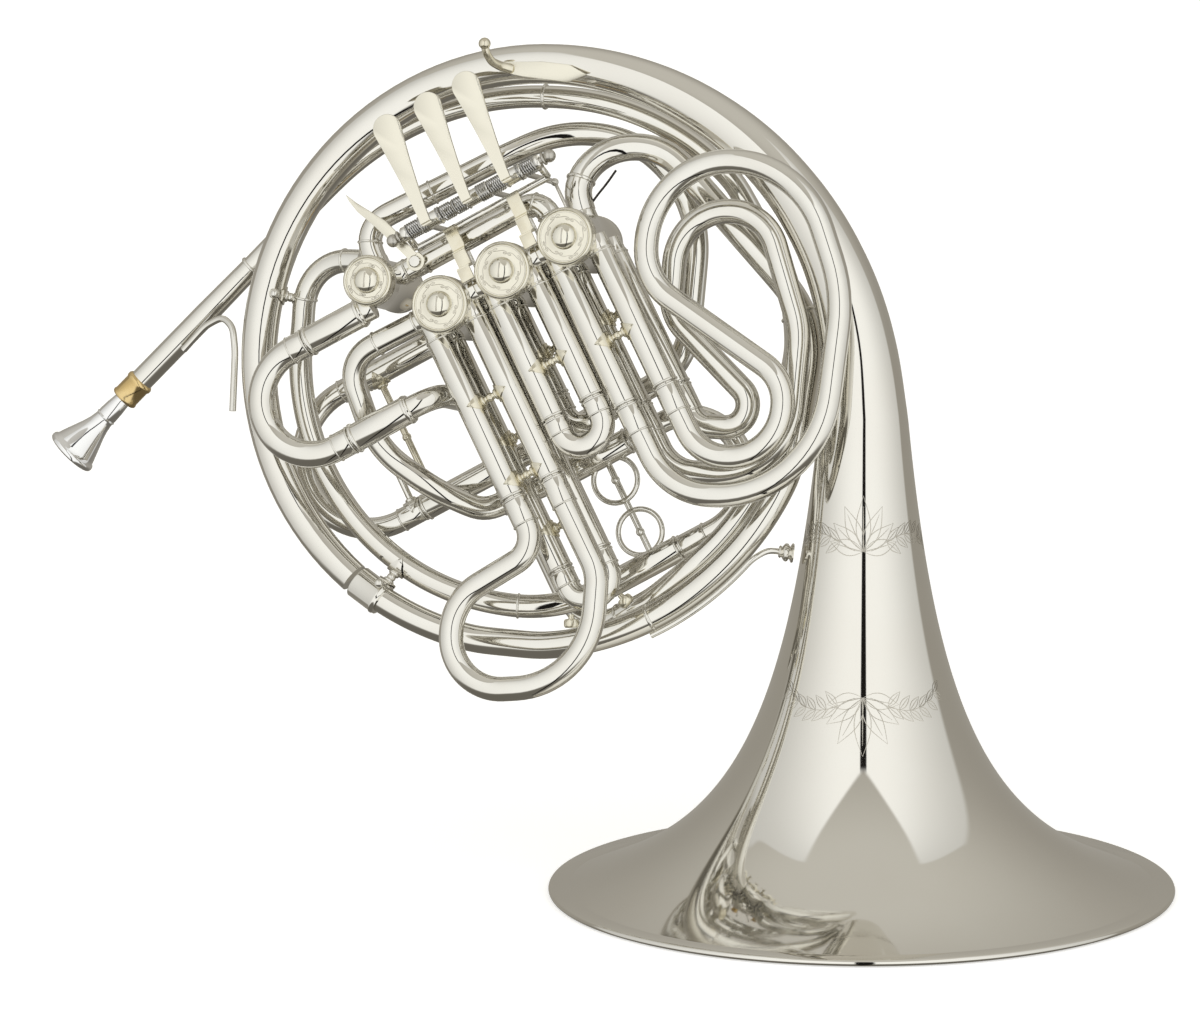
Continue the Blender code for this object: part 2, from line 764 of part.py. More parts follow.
def make_trim():
    solid(
        "pinky_hook",
        SILVER,
        [
            box((-4, -11.6, 139.5), (40, 1.8, 8.5)),
            rod((-21, -11.6, 140), (-27, -22, 143), 2.2, 8),
            rod((-27, -21.5, 143), (-29, -27, 149), 2.2, 8),
            ball((-29, -27.5, 149.5), 3.2),
        ],
    )
    wire = ring(152.8, -62, -38, 0, 0)
    tube("bell_brace", bend([*wire, (127, 3, -88.8, 6), (132.8, 7.9, -89.0)]), 1.4, SILVER, 0)
    solid("bell_brace_ferrule", SILVER, [rod((133.5, 8.2, -89.0), (137.4, 9.6, -89.2), 4.0, 12, 5.0)])
    strap = [
        (-187.5, 10.0, -8.5),
        (-165, 4.0, 17, 12),
        (-157, -2, -8, 10),
        (-154.4, -3, -38),
    ]
    tube("leadpipe_brace", bend(strap), 1.6, SILVER, 0)


make_bell()
make_outer_ring()
make_leadpipe()
make_mouthpiece()
for valve, (valve_e, valve_d) in VALVES.items():
    make_valve(valve, valve_e, valve_d)
make_valve_slides()
make_tuning_slides()
make_branches()
make_levers()
make_thumb_lever()
make_trim()
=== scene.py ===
"""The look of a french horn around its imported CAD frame.

The CAD nodes are faceted, so each is replaced by a smooth piece on the same route. Routes are in
millimetres, in body coordinates (u, v, w): u right, v back, w up along the lean of the tubing.
The valves and slides use block coordinates (e, d, v): e along the row, d down the valve slides.
"""

from math import ceil, cos, pi, radians, sin, tan, tau

import bmesh
import bpy
from mathutils import Matrix, Vector


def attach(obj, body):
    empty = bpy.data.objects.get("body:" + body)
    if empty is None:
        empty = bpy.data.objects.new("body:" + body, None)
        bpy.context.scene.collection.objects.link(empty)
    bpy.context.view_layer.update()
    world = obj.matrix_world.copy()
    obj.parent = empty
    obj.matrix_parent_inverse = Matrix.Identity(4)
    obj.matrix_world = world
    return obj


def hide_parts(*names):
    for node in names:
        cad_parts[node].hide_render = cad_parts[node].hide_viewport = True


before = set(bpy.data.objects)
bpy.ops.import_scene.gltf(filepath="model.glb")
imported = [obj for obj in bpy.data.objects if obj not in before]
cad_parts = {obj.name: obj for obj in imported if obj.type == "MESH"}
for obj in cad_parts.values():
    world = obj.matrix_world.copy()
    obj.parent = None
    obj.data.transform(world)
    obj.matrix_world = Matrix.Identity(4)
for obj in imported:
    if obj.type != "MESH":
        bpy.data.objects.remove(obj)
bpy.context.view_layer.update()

MM = 0.001
# The CAD leaves this gap between neighbouring nodes.
GAP = 0.3
SHARP_ANGLE = radians(38)

# Placing the frames.
BELL_X = 135.8
LEAN = radians(14.8)
RING_U = 171.0
PLANE_HEIGHT = 250.0
RING_RISE = 10.0
ROW_ANGLE = radians(31.0)
ROW_U = -37.7
ROW_W = 19.4

# Bell.
BELL_RADIUS = 155.0
BELL_HEIGHT = 237.7
FLARE_OFFSET = -10.84
FLARE_LENGTH = 40.84
FLARE_POWER = 0.845
BELL_WALL = 0.8
BEAD = 1.6

# Rings of tubing about the body's centre.
RING = 144.2
TAIL_ARC = 171.0
BRANCH_V = 6.0
LEADPIPE_RING = 129.0
INNER_RING = 124.5

# Valves and slides.
VALVE_PITCH = 36.0
CASING_RADIUS = 14.2
CHANGE_CASING_RADIUS = 12.4
CASING_FRONT = -36.0
CASING_BACK = 8.0
F_TIER = -30.0
BB_TIER = -8.0
LEG_OFFSET = 11.0
SLEEVE_RADIUS = 6.5
STUB_RADIUS = 6.1
LEG_RADIUS = 5.5
BOW_RADIUS = 6.1
LEG_INSIDE = 42.0
SLEEVE_TOP = 12.0
FERRULE_LENGTH = 15.0
BAND_SHARE = 0.14
TUNING_BOW = BOW_RADIUS - 0.6
MAIN_V = -30.0
F_TUNING_V = 24.0
BB_TUNING_V = 19.0

# Scrolls on the caps: each is two spirals that wind up as they run.
SCROLL_COUNT = 8
SCROLL_STEPS = 84
SCROLL_TURN = 2.9
SCROLL_LONG = 3.7
SCROLL_HIGH = 1.75

# Levers.
ROD_D = -41.0
ROD_V = -34.0
LEVER_E = (14.0, 37.5, 60.0)
ARM_E = (8.4, 44.4, 63.6)
ARM_V = 23.2
SPRING_PITCH = 1.15

TUBE_SIDES = 32
ARC_STEP = radians(5)
RING_STEP = 3.0

CENTRE = Vector((
    BELL_X - RING_U,
    RING_RISE * sin(LEAN),
    PLANE_HEIGHT + RING_RISE * cos(LEAN),
))
BODY = Matrix.Translation(CENTRE) @ Matrix.Rotation(-LEAN, 4, "X")
STAND = Matrix.Translation((BELL_X, 0, 0))
TO_METRES = Matrix.Scale(MM, 4)

VALVES = {
    "first": (0.0, 0.0),
    "second": (VALVE_PITCH, 0.0),
    "third": (2 * VALVE_PITCH, 0.0),
    "change": (-28.0, -28.0),
}


# ---- materials


def set_inputs(node, values):
    for label, value in values.items():
        node.inputs[label].default_value = value


def map_range(tree, value, low, high, before, after):
    """A node that remaps a value from one range to another."""
    made = tree.nodes.new("ShaderNodeMapRange")
    set_inputs(made, {"From Min": low, "From Max": high, "To Min": before, "To Max": after})
    tree.links.new(value, made.inputs["Value"])
    return made


def new_material(name, colour, roughness, metallic=1.0):
    made = bpy.data.materials.new(name)
    made.use_nodes = True
    shader = made.node_tree.nodes["Principled BSDF"]
    set_inputs(shader, {"Base Color": (*colour, 1.0), "Roughness": roughness, "Metallic": metallic})
    return made, shader


def polished(name, colour, tarnish, low, high, scale=60.0, bump=0.0):
    """Polished plate: colour and gloss wander a little, as hand buffing leaves them."""
    made, shader = new_material(name, colour, low)
    nodes, links = made.node_tree.nodes, made.node_tree.links
    place = nodes.new("ShaderNodeTexCoord")
    noise = nodes.new("ShaderNodeTexNoise")
    set_inputs(noise, {"Scale": scale, "Detail": 4.0})
    links.new(place.outputs["Object"], noise.inputs["Vector"])
    wander = noise.outputs["Fac"]
    spread = map_range(made.node_tree, wander, 0.3, 0.7, low, high)
    links.new(spread.outputs["Result"], shader.inputs["Roughness"])
    ramp = nodes.new("ShaderNodeValToRGB")
    for element, position, shade in zip(ramp.color_ramp.elements, (0.35, 0.6), (tarnish, colour)):
        element.position = position
        element.color = (*shade, 1.0)
    links.new(wander, ramp.inputs["Fac"])
    links.new(ramp.outputs["Color"], shader.inputs["Base Color"])
    if bump:
        relief = nodes.new("ShaderNodeBump")
        set_inputs(relief, {"Strength": bump, "Distance": 0.0002})
        links.new(wander, relief.inputs["Height"])
        links.new(relief.outputs["Normal"], shader.inputs["Normal"])
    return made


SILVER = polished("polished_nickel", (0.8, 0.785, 0.735), (0.785, 0.765, 0.71), 0.03, 0.06)
BELL_SILVER = polished("bell_nickel_silver", (0.8, 0.783, 0.732), (0.788, 0.766, 0.712), 0.035, 0.06, 18.0)
CREAM = polished("cream_lacquer", (0.822, 0.79, 0.68), (0.818, 0.784, 0.672), 0.2, 0.24, 60.0, 0.004)
CREAM_TRIM = polished("cream_trim", (0.8, 0.76, 0.63), (0.74, 0.69, 0.55), 0.16, 0.26, 150.0)
CREAM_SHINE = polished("cream_shine", (0.83, 0.805, 0.71), (0.815, 0.785, 0.685), 0.07, 0.12, 120.0)
# Darker, rougher metal for the engraved lines and cap scrolls; the same colour is also the painted shade of
# the cap slots.
ENGRAVED_AND_SLOT_SHADE = polished("engraved_lines_and_slot_shade", (0.64, 0.61, 0.54), (0.56, 0.53, 0.46), 0.34, 0.5, 400.0)
BRASS = polished("polished_brass", (0.76, 0.58, 0.29), (0.7, 0.51, 0.23), 0.1, 0.2, 120.0)
STEEL = polished("spring_steel", (0.56, 0.555, 0.54), (0.5, 0.495, 0.48), 0.14, 0.22, 300.0)
GREY = polished("drawn_slide_tube", (0.6, 0.58, 0.53), (0.56, 0.54, 0.49), 0.26, 0.36, 140.0)
BRIGHT = polished("polished_silver", (0.88, 0.88, 0.88), (0.86, 0.86, 0.855), 0.03, 0.07, 90.0)
DARK = polished("bore_shadow", (0.06, 0.055, 0.05), (0.05, 0.045, 0.04), 0.5, 0.6, 80.0)


# ---- shapes


def to_metres_from(space):
    """World placing of a shape drawn in millimetres."""
    return Matrix.Translation(space.to_translation() * MM) @ space.to_3x3().to_4x4() @ TO_METRES


def new_object(name, data):
    made = bpy.data.objects.new(name, data)
    bpy.context.scene.collection.objects.link(made)
    return made


def mesh_object(name, mesh, finish):
    """An object from a finished bmesh, which is freed."""
    data = bpy.data.meshes.new(name)
    mesh.to_mesh(data)
    mesh.free()
    data.materials.append(finish)
    return new_object(name, data)


def piece(name, finish, shapes, node="", body="horn", space=BODY):
    """One object made of several shapes, riding on a body and standing for a CAD node if named."""
    mesh = bmesh.new()
    for shape in shapes:
        shape(mesh)
    bmesh.ops.transform(mesh, matrix=to_metres_from(space), verts=mesh.verts)
    bmesh.ops.recalc_face_normals(mesh, faces=mesh.faces)
    made = mesh_object(name, mesh, finish)
    made.data.shade_smooth()
    made.data.set_sharp_from_angle(angle=SHARP_ANGLE)
    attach(made, body)
    if node:
        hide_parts(node)


def block(e, d, v, *bend):
    """Body coordinates of a point given in block coordinates, with its bend radius if any."""
    u = ROW_U + e * cos(ROW_ANGLE) + d * sin(ROW_ANGLE)
    w = ROW_W + e * sin(ROW_ANGLE) - d * cos(ROW_ANGLE)
    return (u, v, w, *bend)


def ring(radius, start, end, v_start, v_end, end_radius=None):
    """Points of an arc about the body's centre, from one angle to another in degrees."""
    if end_radius is None:
        end_radius = radius
    count = max(1, ceil(abs(end - start) / RING_STEP))
    found = []
    for index in range(count + 1):
        share = index / count
        angle = radians(start + (end - start) * share)
        reach = radius + (end_radius - radius) * share
        depth = v_start + (v_end - v_start) * share
        found.append((reach * cos(angle), depth, reach * sin(angle)))
    return found


def ring_spot(radius, angle, v):
    return Vector(ring(radius, angle, angle, v, v)[0])


def bend(corners):
    """A centre line in which each corner (u, v, w, radius) has become an arc."""
    line = [Vector(corners[0][:3])]
    for before, corner, after in zip(corners, corners[1:], corners[2:]):
        at = Vector(corner[:3])
        arrive = (at - Vector(before[:3])).normalized()
        leave = (Vector(after[:3]) - at).normalized()
        turn = arrive.angle(leave)
        if len(corner) < 4 or turn < 0.01:
            line.append(at)
            continue
        reach = corner[3] * tan(turn / 2)
        middle = at + (leave - arrive).normalized() * (corner[3] / cos(turn / 2))
        first = at - arrive * reach - middle
        steps = max(1, ceil(turn / ARC_STEP))
        for index in range(steps + 1):
            angle = turn * index / steps
            line.append(middle + first * cos(angle) + arrive * corner[3] * sin(angle))
    line.append(Vector(corners[-1][:3]))
    kept = [line[0]]
    for point in line[1:]:
        if (point - kept[-1]).length > 0.15:
            kept.append(point)
    return kept


def smoothed(points, spacing=4.0, rounds=3):
    """A line resampled evenly and relaxed, so that arcs given by few points run on smoothly."""
    points = [Vector(point[:3]) for point in points]
    lengths = [0.0]
    for a, b in zip(points, points[1:]):
        lengths.append(lengths[-1] + (b - a).length)
    count = max(2, round(lengths[-1] / spacing))
    line = []
    segment = 0
    for index in range(count + 1):
        want = lengths[-1] * index / count
        while segment < len(points) - 2 and lengths[segment + 1] < want:
            segment += 1
        span = lengths[segment + 1] - lengths[segment]
        line.append(points[segment].lerp(points[segment + 1], (want - lengths[segment]) / span))
    for _ in range(rounds):
        middle = [(a + 2 * b + c) / 4 for a, b, c in zip(line, line[1:], line[2:])]
        line = [line[0], *middle, line[-1]]
    return line


def at_length(table, length):
    """The radius at a length along a tube, read from (length, radius) steps."""
    for (a, radius_a), (b, radius_b) in zip(table, table[1:]):
        if length <= b:
            return radius_a + (radius_b - radius_a) * max(0.0, length - a) / (b - a)
    return table[-1][1]


def skin(mesh, rows, closed_rows=True, caps=True):
    """Quads between rows of vertices, and a face on each end row."""
    for before, after in zip(rows, rows[1:]):
        count = len(before)
        for index in range(count if closed_rows else count - 1):
            follow = (index + 1) % count
            mesh.faces.new((before[index], before[follow], after[follow], after[index]))
    if caps:
        mesh.faces.new(list(reversed(rows[0])))
        mesh.faces.new(rows[-1])


def square_to(along):
    """Two directions square to a direction and to each other."""
    side = along.orthogonal().normalized()
    return side, along.cross(side)


def swung(side, up, angle):
    """The direction at an angle from side towards up."""
    return side * cos(angle) + up * sin(angle)


def circle(mesh, middle, side, up, radius, sides):
    """New vertices round a point."""
    return [mesh.verts.new(middle + radius * swung(side, up, tau * step / sides)) for step in range(sides)]


def tube(line, radii, sides=TUBE_SIDES):
    """A round tube along a line, with closed ends."""
    table = radii if isinstance(radii, list) else [(0.0, radii), (1.0, radii)]

    def add(mesh):
        points = [Vector(point[:3]) for point in line]
        ahead = (points[1] - points[0]).normalized()
        side = ahead.orthogonal().normalized()
        rows = []
        length = 0.0
        for index, point in enumerate(points):
            if index:
                length += (point - points[index - 1]).length
            before = points[max(index - 1, 0)]
            after = points[min(index + 1, len(points) - 1)]
            along = (after - before).normalized()
            side = (side - along * side.dot(along)).normalized()
            rows.append(circle(mesh, point, side, along.cross(side), at_length(table, length), sides))
        skin(mesh, rows)

    return add


def turned(start, end, profile, sides=48, closed=False):
    """A profile of (radius, distance) turned about the line from start towards end."""

    def add(mesh):
        a = Vector(start[:3])
        along = (Vector(end[:3]) - a).normalized()
        side, up = square_to(along)
        rows = []
        for radius, distance in profile:
            rows.append(circle(mesh, a + along * distance, side, up, max(radius, 0.01), sides))
        if closed:
            rows.append(rows[0])
        skin(mesh, rows, caps=not closed)

    return add


def rod(start, end, radius, sides=24, round_off=0.3):
    """A cylinder whose two edges are slightly rounded."""
    length = (Vector(end[:3]) - Vector(start[:3])).length
    edge = min(round_off, radius / 2, length / 3)
    small = edge * 0.3
    profile = [
        (radius - edge, 0.0), (radius - small, small), (radius, edge),
        (radius, length - edge), (radius - small, length - small), (radius - edge, length),
    ]
    return turned(start, end, profile, sides)


def band(middle, towards, radius, width, proud=0.8):
    """A rolled ring round a tube."""
    at = Vector(middle[:3])
    along = (Vector(towards[:3]) - at).normalized()
    steps = 8
    profile = [(radius - 1.0, -width / 2)]
    for index in range(steps + 1):
        angle = pi * index / steps
        profile.append((radius + proud * sin(angle), -width / 2 * cos(angle)))
    profile.append((radius - 1.0, width / 2))
    return turned(at, at + along, profile, 36)


def hoop(middle, normal, radius, wire, sides=64, wire_sides=14):
    """A ring of round wire."""

    def add(mesh):
        at = Vector(middle[:3])
        axis = Vector(normal).normalized()
        side, up = square_to(axis)
        rows = []
        for step in range(sides):
            out = swung(side, up, tau * step / sides)
            rows.append(circle(mesh, at + out * radius, out, axis, wire, wire_sides))
        rows.append(rows[0])
        skin(mesh, rows, caps=False)

    return add


def ball(middle, radius):
    """A ball turned about the way from front to back."""
    steps = 12
    profile = []
    for index in range(steps + 1):
        angle = pi * index / steps
        profile.append((radius * sin(angle), -radius * cos(angle)))
    at = Vector(middle[:3])
    return turned(at, at + Vector((0, 1, 0)), profile, 28)


def coil(start, end, radius, wire, turns):
    """A wound spring of round wire between two points."""
    a = Vector(start[:3])
    b = Vector(end[:3])
    side, up = square_to((b - a).normalized())
    count = int(turns * 16)
    line = []
    for index in range(count + 1):
        share = index / count
        line.append(a.lerp(b, share) + radius * swung(side, up, tau * turns * share))
    return tube(line, wire, 8)


def plate(outline, thickness, face, edge=0.35):
    """A flat plate with softened edges, from its outline and the way that it is thickened."""

    def add(mesh):
        points = [Vector(point[:3]) for point in outline]
        middle = sum(points, Vector()) / len(points)
        out = Vector(face).normalized()
        rows = []
        small = edge * 0.3
        steps = (
            (edge, 0.0), (small, small), (0.0, edge),
            (0.0, thickness - edge), (small, thickness - small), (edge, thickness),
        )
        for inset, height in steps:
            row = []
            for point in points:
                inward = (middle - point).normalized() * inset
                row.append(mesh.verts.new(point + inward + out * height))
            rows.append(row)
        skin(mesh, rows)

    return add


def saddle(at, towards, partner, radius, length=9.2, reach=10.2):
    """A leaf wrapped round a tube, its points to the front and back of a brace's end."""

    def add(mesh):
        middle = Vector(at[:3])
        along = (Vector(towards[:3]) - middle).normalized()
        out = Vector(partner[:3]) - middle
        out = (out - along * out.dot(along)).normalized()
        side = along.cross(out)
        rows, columns = 20, 8
        rims = []
        for crown, fall in ((0.95, 0.35), (-0.2, 0.0)):
            grid = []
            for row in range(rows + 1):
                share = 2 * row / rows - 1
                half = length / 2 * (1 - abs(share) ** 1.5) + 0.1
                direction = swung(out, side, share * reach / radius)
                line = []
                for column in range(columns + 1):
                    spread = 2 * column / columns - 1
                    lift = radius + crown - fall * abs(spread)
                    line.append(mesh.verts.new(middle + along * spread * half + direction * lift))
                grid.append(line)
            skin(mesh, grid, closed_rows=False, caps=False)
            rim = [line[0] for line in grid] + grid[-1][1:-1]
            rims.append(rim + [line[-1] for line in reversed(grid)] + grid[0][-2:0:-1])
        skin(mesh, rims, caps=False)

    return add


def brace(a, b, along_a, along_b, radius_a, radius_b, rod_radius=1.7):
    """A turned brace between two tubes, with a leaf on each."""
    start = Vector(a[:3])
    end = Vector(b[:3])
    ahead = (end - start).normalized()
    first = start + ahead * radius_a
    last = end - ahead * radius_b
    return [
        saddle(start, start + Vector(along_a), end, radius_a),
        saddle(end, end + Vector(along_b), start, radius_b),
        rod(first, last, rod_radius),
        band(first + ahead * 0.9, last, rod_radius + 0.4, 1.8),
        band(last - ahead * 0.9, first, rod_radius + 0.4, 1.8),
        ball((first + last) / 2, rod_radius * 1.35),
    ]


# ---- bell


def bell_radius(height):
    reach = (FLARE_LENGTH / (height + FLARE_LENGTH)) ** FLARE_POWER
    return (BELL_RADIUS - FLARE_OFFSET) * reach + FLARE_OFFSET


def bell_spot(angle, height, lift=0):
    """A point on the bell's outside, in the stand's coordinates, turned from the front (-Y)."""
    radius = bell_radius(height) + lift
    return Vector((radius * sin(angle), -radius * cos(angle), height))


def make_bell():
    levels = 90
    heights = [BELL_HEIGHT * (1 - index / levels) ** 1.7 + 2 * BEAD for index in range(levels + 1)]
    heights = [BELL_HEIGHT + GAP] + [height for height in heights if height < BELL_HEIGHT - 1]
    outer = [(bell_radius(height), height) for height in heights]
    centre = BELL_RADIUS - BEAD
    bead = []
    for index in range(13):
        angle = radians(70 - 265 * index / 12)
        bead.append((centre + BEAD * cos(angle), BEAD + BEAD * sin(angle)))
    inner = [(radius - BELL_WALL, height) for radius, height in reversed(outer)]
    profile = [(radius, -height) for radius, height in outer + bead + inner]
    shell = turned((0, 0, 0), (0, 0, -1), profile, 160, closed=True)
    piece("bell_flare", BELL_SILVER, [shell], "bell", space=STAND)


def leaf(angle, height, aim, length, fat):
    """The outline and midrib of a leaf on the bell, from its stem and the way it points."""
    radius = bell_radius(height)
    lines = []
    for side in (-1, 0, 1):
        line = []
        for step in range(13):
            share = step / 12
            bulge = side * fat * sin(pi * share) * (1.15 - 0.5 * share)
            reach = length * share * (0.82 if side == 0 else 1)
            across = reach * sin(aim) + bulge * cos(aim)
            along = reach * cos(aim) - bulge * sin(aim)
            line.append((angle + across / radius, height + along))
        lines.append(line)
    return lines


def engraved_line(line, width=0.42):
    """A shallow cut line that follows the bell."""

    def add(mesh):
        spots = [bell_spot(angle, height, 0.06) for angle, height in line]
        rows = []
        for index, spot in enumerate(spots):
            ahead = spots[min(index + 1, len(spots) - 1)] - spots[max(index - 1, 0)]
            out = Vector((spot.x, spot.y, 0)).normalized()
            side = ahead.cross(out).normalized()
            share = index / (len(spots) - 1)
            half = width / 2 * (0.35 + 0.65 * sin(pi * share))
            rows.append([mesh.verts.new(spot - side * half), mesh.verts.new(spot + side * half)])
        skin(mesh, rows, closed_rows=False, caps=False)

    return add


def spray(middle, height, up):
    """A flower with pointed petals between sprays of leaves."""
    lines = []
    for index in range(7):
        aim = radians(-78 + 26 * index)
        aim = aim if up > 0 else pi - aim
        lines += leaf(middle, height, aim, 27 - 3 * abs(index - 3), 4.2)
    for side in (-1, 1):
        stem = []
        for step in range(15):
            share = step / 14
            across = side * (4 + 38 * share)
            rise = up * (12 * sin(pi * share * 0.8) - 9 * share)
            stem.append((middle + across / bell_radius(height), height + rise))
        lines.append(stem)
        for step in range(3, 15, 2):
            angle, at = stem[step]
            for turn in (-1, 1):
                aim = side * radians(90 + turn * 42)
                lines += leaf(angle, at, aim, 10.5 - 0.25 * step, 1.8)
    return lines


def make_engraving():
    facing = radians(17)
    lines = spray(facing, 178, 1) + spray(facing, 108, -1)
    piece("bell_engraving", ENGRAVED_AND_SLOT_SHADE, [engraved_line(line) for line in lines], space=STAND)


def tail_line():
    """The bell's tail: up the bell axis, leaning into the body's plane, then a quarter arc."""
    arc_w = RING - TAIL_ARC
    blend = (PLANE_HEIGHT - BELL_HEIGHT - GAP) * cos(LEAN)
    start = Vector((RING_U, blend * tan(LEAN), -RING_RISE - blend))
    up = Vector((0, -sin(LEAN), cos(LEAN)))
    line = [start - up * 0.5, start + up * 3]
    steps = 60
    for index in range(steps + 1):
        angle = radians(5 + 85 * index / steps)
        u = TAIL_ARC * cos(angle)
        w = arc_w + TAIL_ARC * sin(angle)
        above = max(0, blend - RING_RISE - w)
        line.append(Vector((u, above**2 * tan(LEAN) / (4 * blend), w)))
    return line


# The tail's radius at lengths along it.
TAIL_RADII = [
    (0, 21.9), (2, 21.5), (40, 18.4), (82, 15.6), (125, 13.5), (175, 11.8), (220, 10.7), (265, 9.9),
    (370, 9.35), (492, 8.9), (640, 7.6),
]


def make_outer_ring():
    tail = tail_line() + [Vector(point) for point in ring(RING, 90, 234, 0, 0)[1:]]
    piece("bell_tail_tube", BELL_SILVER, [tube(tail, TAIL_RADII, 48)], "bell_tail")
    start, end = ring_spot(RING, 235.2, 0), ring_spot(RING, 241.5, 0)
    length = (end - start).length
    profile = [
        (6.8, -0.6), (8, -0.6), (8.35, 0), (8.3, length - 3), (8.8, length - 2.3),
        (8.8, length - 1.5), (8.3, length - 0.8), (8.2, length), (6.6, length + 0.2),
    ]
    piece("main_ferrule_sleeve", SILVER, [turned(start, end, profile)], "main_ferrule")
    bottom = ring(RING, 239, 262, 0, BRANCH_V) + ring(RING, 275, 340, BRANCH_V, BRANCH_V, RING - 1.5)
    top = [
        (141.5, BRANCH_V + 2, 25.6, 50),
        (57.8, BRANCH_V, 106, 27.5),
        (19, 0, 106, 27.5),
        block(78.6, -24, BB_TIER, 8),
        block(77.4, -14, BB_TIER),
    ]
    line = smoothed(bend(bottom + top), 3.5, 4)
    shapes = [tube(line, 6.8)]
    for share in (0.30, 0.66, 0.97):
        at = round(share * (len(line) - 2))
        shapes.append(band(line[at], line[at + 1], 6.8, 2, 0.7))
    piece("first_branch_tube", SILVER, shapes, "first_branch")


# The way from the mouthpiece into the leadpipe, and the receiver's mouth.
LEADPIPE_AIM = Vector((0.665, 0, 0.747))
MOUTH = Vector((-220, 17, -34.7))


def make_leadpipe():
    start = MOUTH + LEADPIPE_AIM * 24
    path = [
        tuple(start),
        (-74.6, 15.5, LEADPIPE_RING, 150),
        *ring(LEADPIPE_RING, 90, 45, 14, 19),
        *ring(LEADPIPE_RING, 22, 5, 21.5, 20),
        *ring(LEADPIPE_RING + 1.5, -18, -48, 13, 11.6, 131.5),
        *ring(LEADPIPE_RING + 5, -60, -66, 14.5, 19),
        block(-24, 168, 31, 24),
        block(-24, 36.7, 32, 12),
        block(-24, 36.7, MAIN_V, 12),
        block(-41.2, 36.7, MAIN_V),
    ]
    line = smoothed(bend(path), 3, 5)
    shapes = [tube(line, [(0, 5), (90, 5.2), (250, 5.6), (1200, 6)])]
    for share in (0.30, 0.52, 0.74):
        at = round(share * len(line))
        shapes.append(band(line[at], line[at + 1], 5.8, 1.8, 0.7))
    piece("leadpipe_tube", SILVER, shapes, "leadpipe")
    sheath = [MOUTH + LEADPIPE_AIM * reach for reach in (13.5, 60, 94, 96)]
    piece("leadpipe_sheath", SILVER, [tube(sheath, [(0, 6), (78, 6), (82, 5.2)]),
                                      band(sheath[2], sheath[3], 5.9, 1.6, 0.5)])
    profile = [
        (4.8, 0), (6.3, 0), (6.9, 0.5), (7.1, 1.4), (6.7, 2.4), (6.7, 10.4), (7.2, 11.2), (7.2, 12.6),
        (6.7, 13.4), (6.2, 13.8), (5, 13.9),
    ]
    piece("receiver_collar", BRASS, [turned(MOUTH, MOUTH + LEADPIPE_AIM, profile)], "receiver")


def make_mouthpiece():
    outer = [
        (3.7, -24), (3.9, 0), (4.3, 1.2), (4.8, 6), (5.1, 11), (5, 12), (5.5, 12.7), (5, 13.4),
        (5.1, 14.5), (5.7, 18), (6.9, 22), (8.4, 26), (9.9, 30), (11.2, 33.6), (11.8, 35.4),
        (12.4, 35.8), (12.9, 36.3), (13.1, 37.2), (13, 38.3), (12.4, 38.9), (11.4, 39.2), (10.4, 39),
        (9.6, 38.4), (9, 37),
    ]
    inner = [(8.4, 34), (7, 29), (5, 24), (3, 19), (2.3, 14), (2.3, 4), (2.9, -24)]
    shape = turned(MOUTH, MOUTH - LEADPIPE_AIM, outer + inner, 64, closed=True)
    piece("mouthpiece_cup", BRIGHT, [shape], "mouthpiece", "mouthpiece_piece")


# ---- valves


def make_cap(name, centre_e, centre_d, radius):
    def spot(v):
        return block(centre_e, centre_d, v)

    rim = [
        (radius - 1, -1), (radius, -1), (radius + 0.1, 3.4), (radius + 0.2, 3.8), (radius + 0.2, 5.2),
        (radius - 0.2, 5.9), (radius - 0.8, 6.2), (radius - 1.3, 6), (radius - 1.6, 5.5),
        (radius - 2.4, 5.4), (6.5, 5.4), (6.2, 5.6), (0, 5.6),
    ]
    base = CASING_FRONT - GAP
    piece(f"{name}_cap_plate", CREAM, [turned(spot(base), spot(base - 1), rim, 72)], f"{name}_front_cap")
    knob = [
        (6.5, 5.3), (6.6, 6.1), (6.4, 7.1), (5.9, 8.1), (5.1, 9), (3.9, 9.75), (2.4, 10.2), (1.2, 10.38),
        (0, 10.45),
    ]
    piece(f"{name}_cap_screw", CREAM_SHINE, [turned(spot(base), spot(base - 1), knob, 40)])
    # The slot is a thin darker plate laid just over the knob's dome, not a cut: painted shade standing in
    # for the shade inside the slot.
    middle = Vector(spot(base - 10))
    slot = [middle + Vector((across, 0, along)) for across, along in
            ((-0.3, -3.7), (0.3, -3.7), (0.3, 3.7), (-0.3, 3.7))]
    piece(f"{name}_cap_slot_shade", ENGRAVED_AND_SLOT_SHADE, [plate(slot, 0.55, (0, -1, 0), 0.05)])
    lines = [[(radius - 2.1, tau * step / 64) for step in range(65)]]
    belt = radius * 0.69
    x = y = 0.0
    half = []
    for step in range(SCROLL_STEPS):
        wind = (SCROLL_TURN * (step + 0.5) / SCROLL_STEPS) ** 2
        x += cos(wind) * SCROLL_TURN / SCROLL_STEPS
        y += sin(wind) * SCROLL_TURN / SCROLL_STEPS
        if step % 3 == 0:
            half.append((x, y))
    scroll = [(-along, -out) for along, out in reversed(half)] + half
    for index in range(SCROLL_COUNT):
        turn = tau * (index + 0.5) / SCROLL_COUNT
        flip = 1 if index % 2 else -1
        high = flip * SCROLL_HIGH
        lines.append([(belt + high * out, turn + SCROLL_LONG * along / belt) for along, out in scroll])
    shapes = []
    for line in lines:
        path = [block(centre_e + r * cos(a), centre_d + r * sin(a), base - 5.42) for r, a in line]
        shapes.append(tube(path, 0.15, 5))
    piece(f"{name}_cap_scroll", ENGRAVED_AND_SLOT_SHADE, shapes)


# The sides on which a valve meets the next one in the row.
NEIGHBOURS = {"first": (1,), "second": (-1, 1), "third": (-1,), "change": ()}
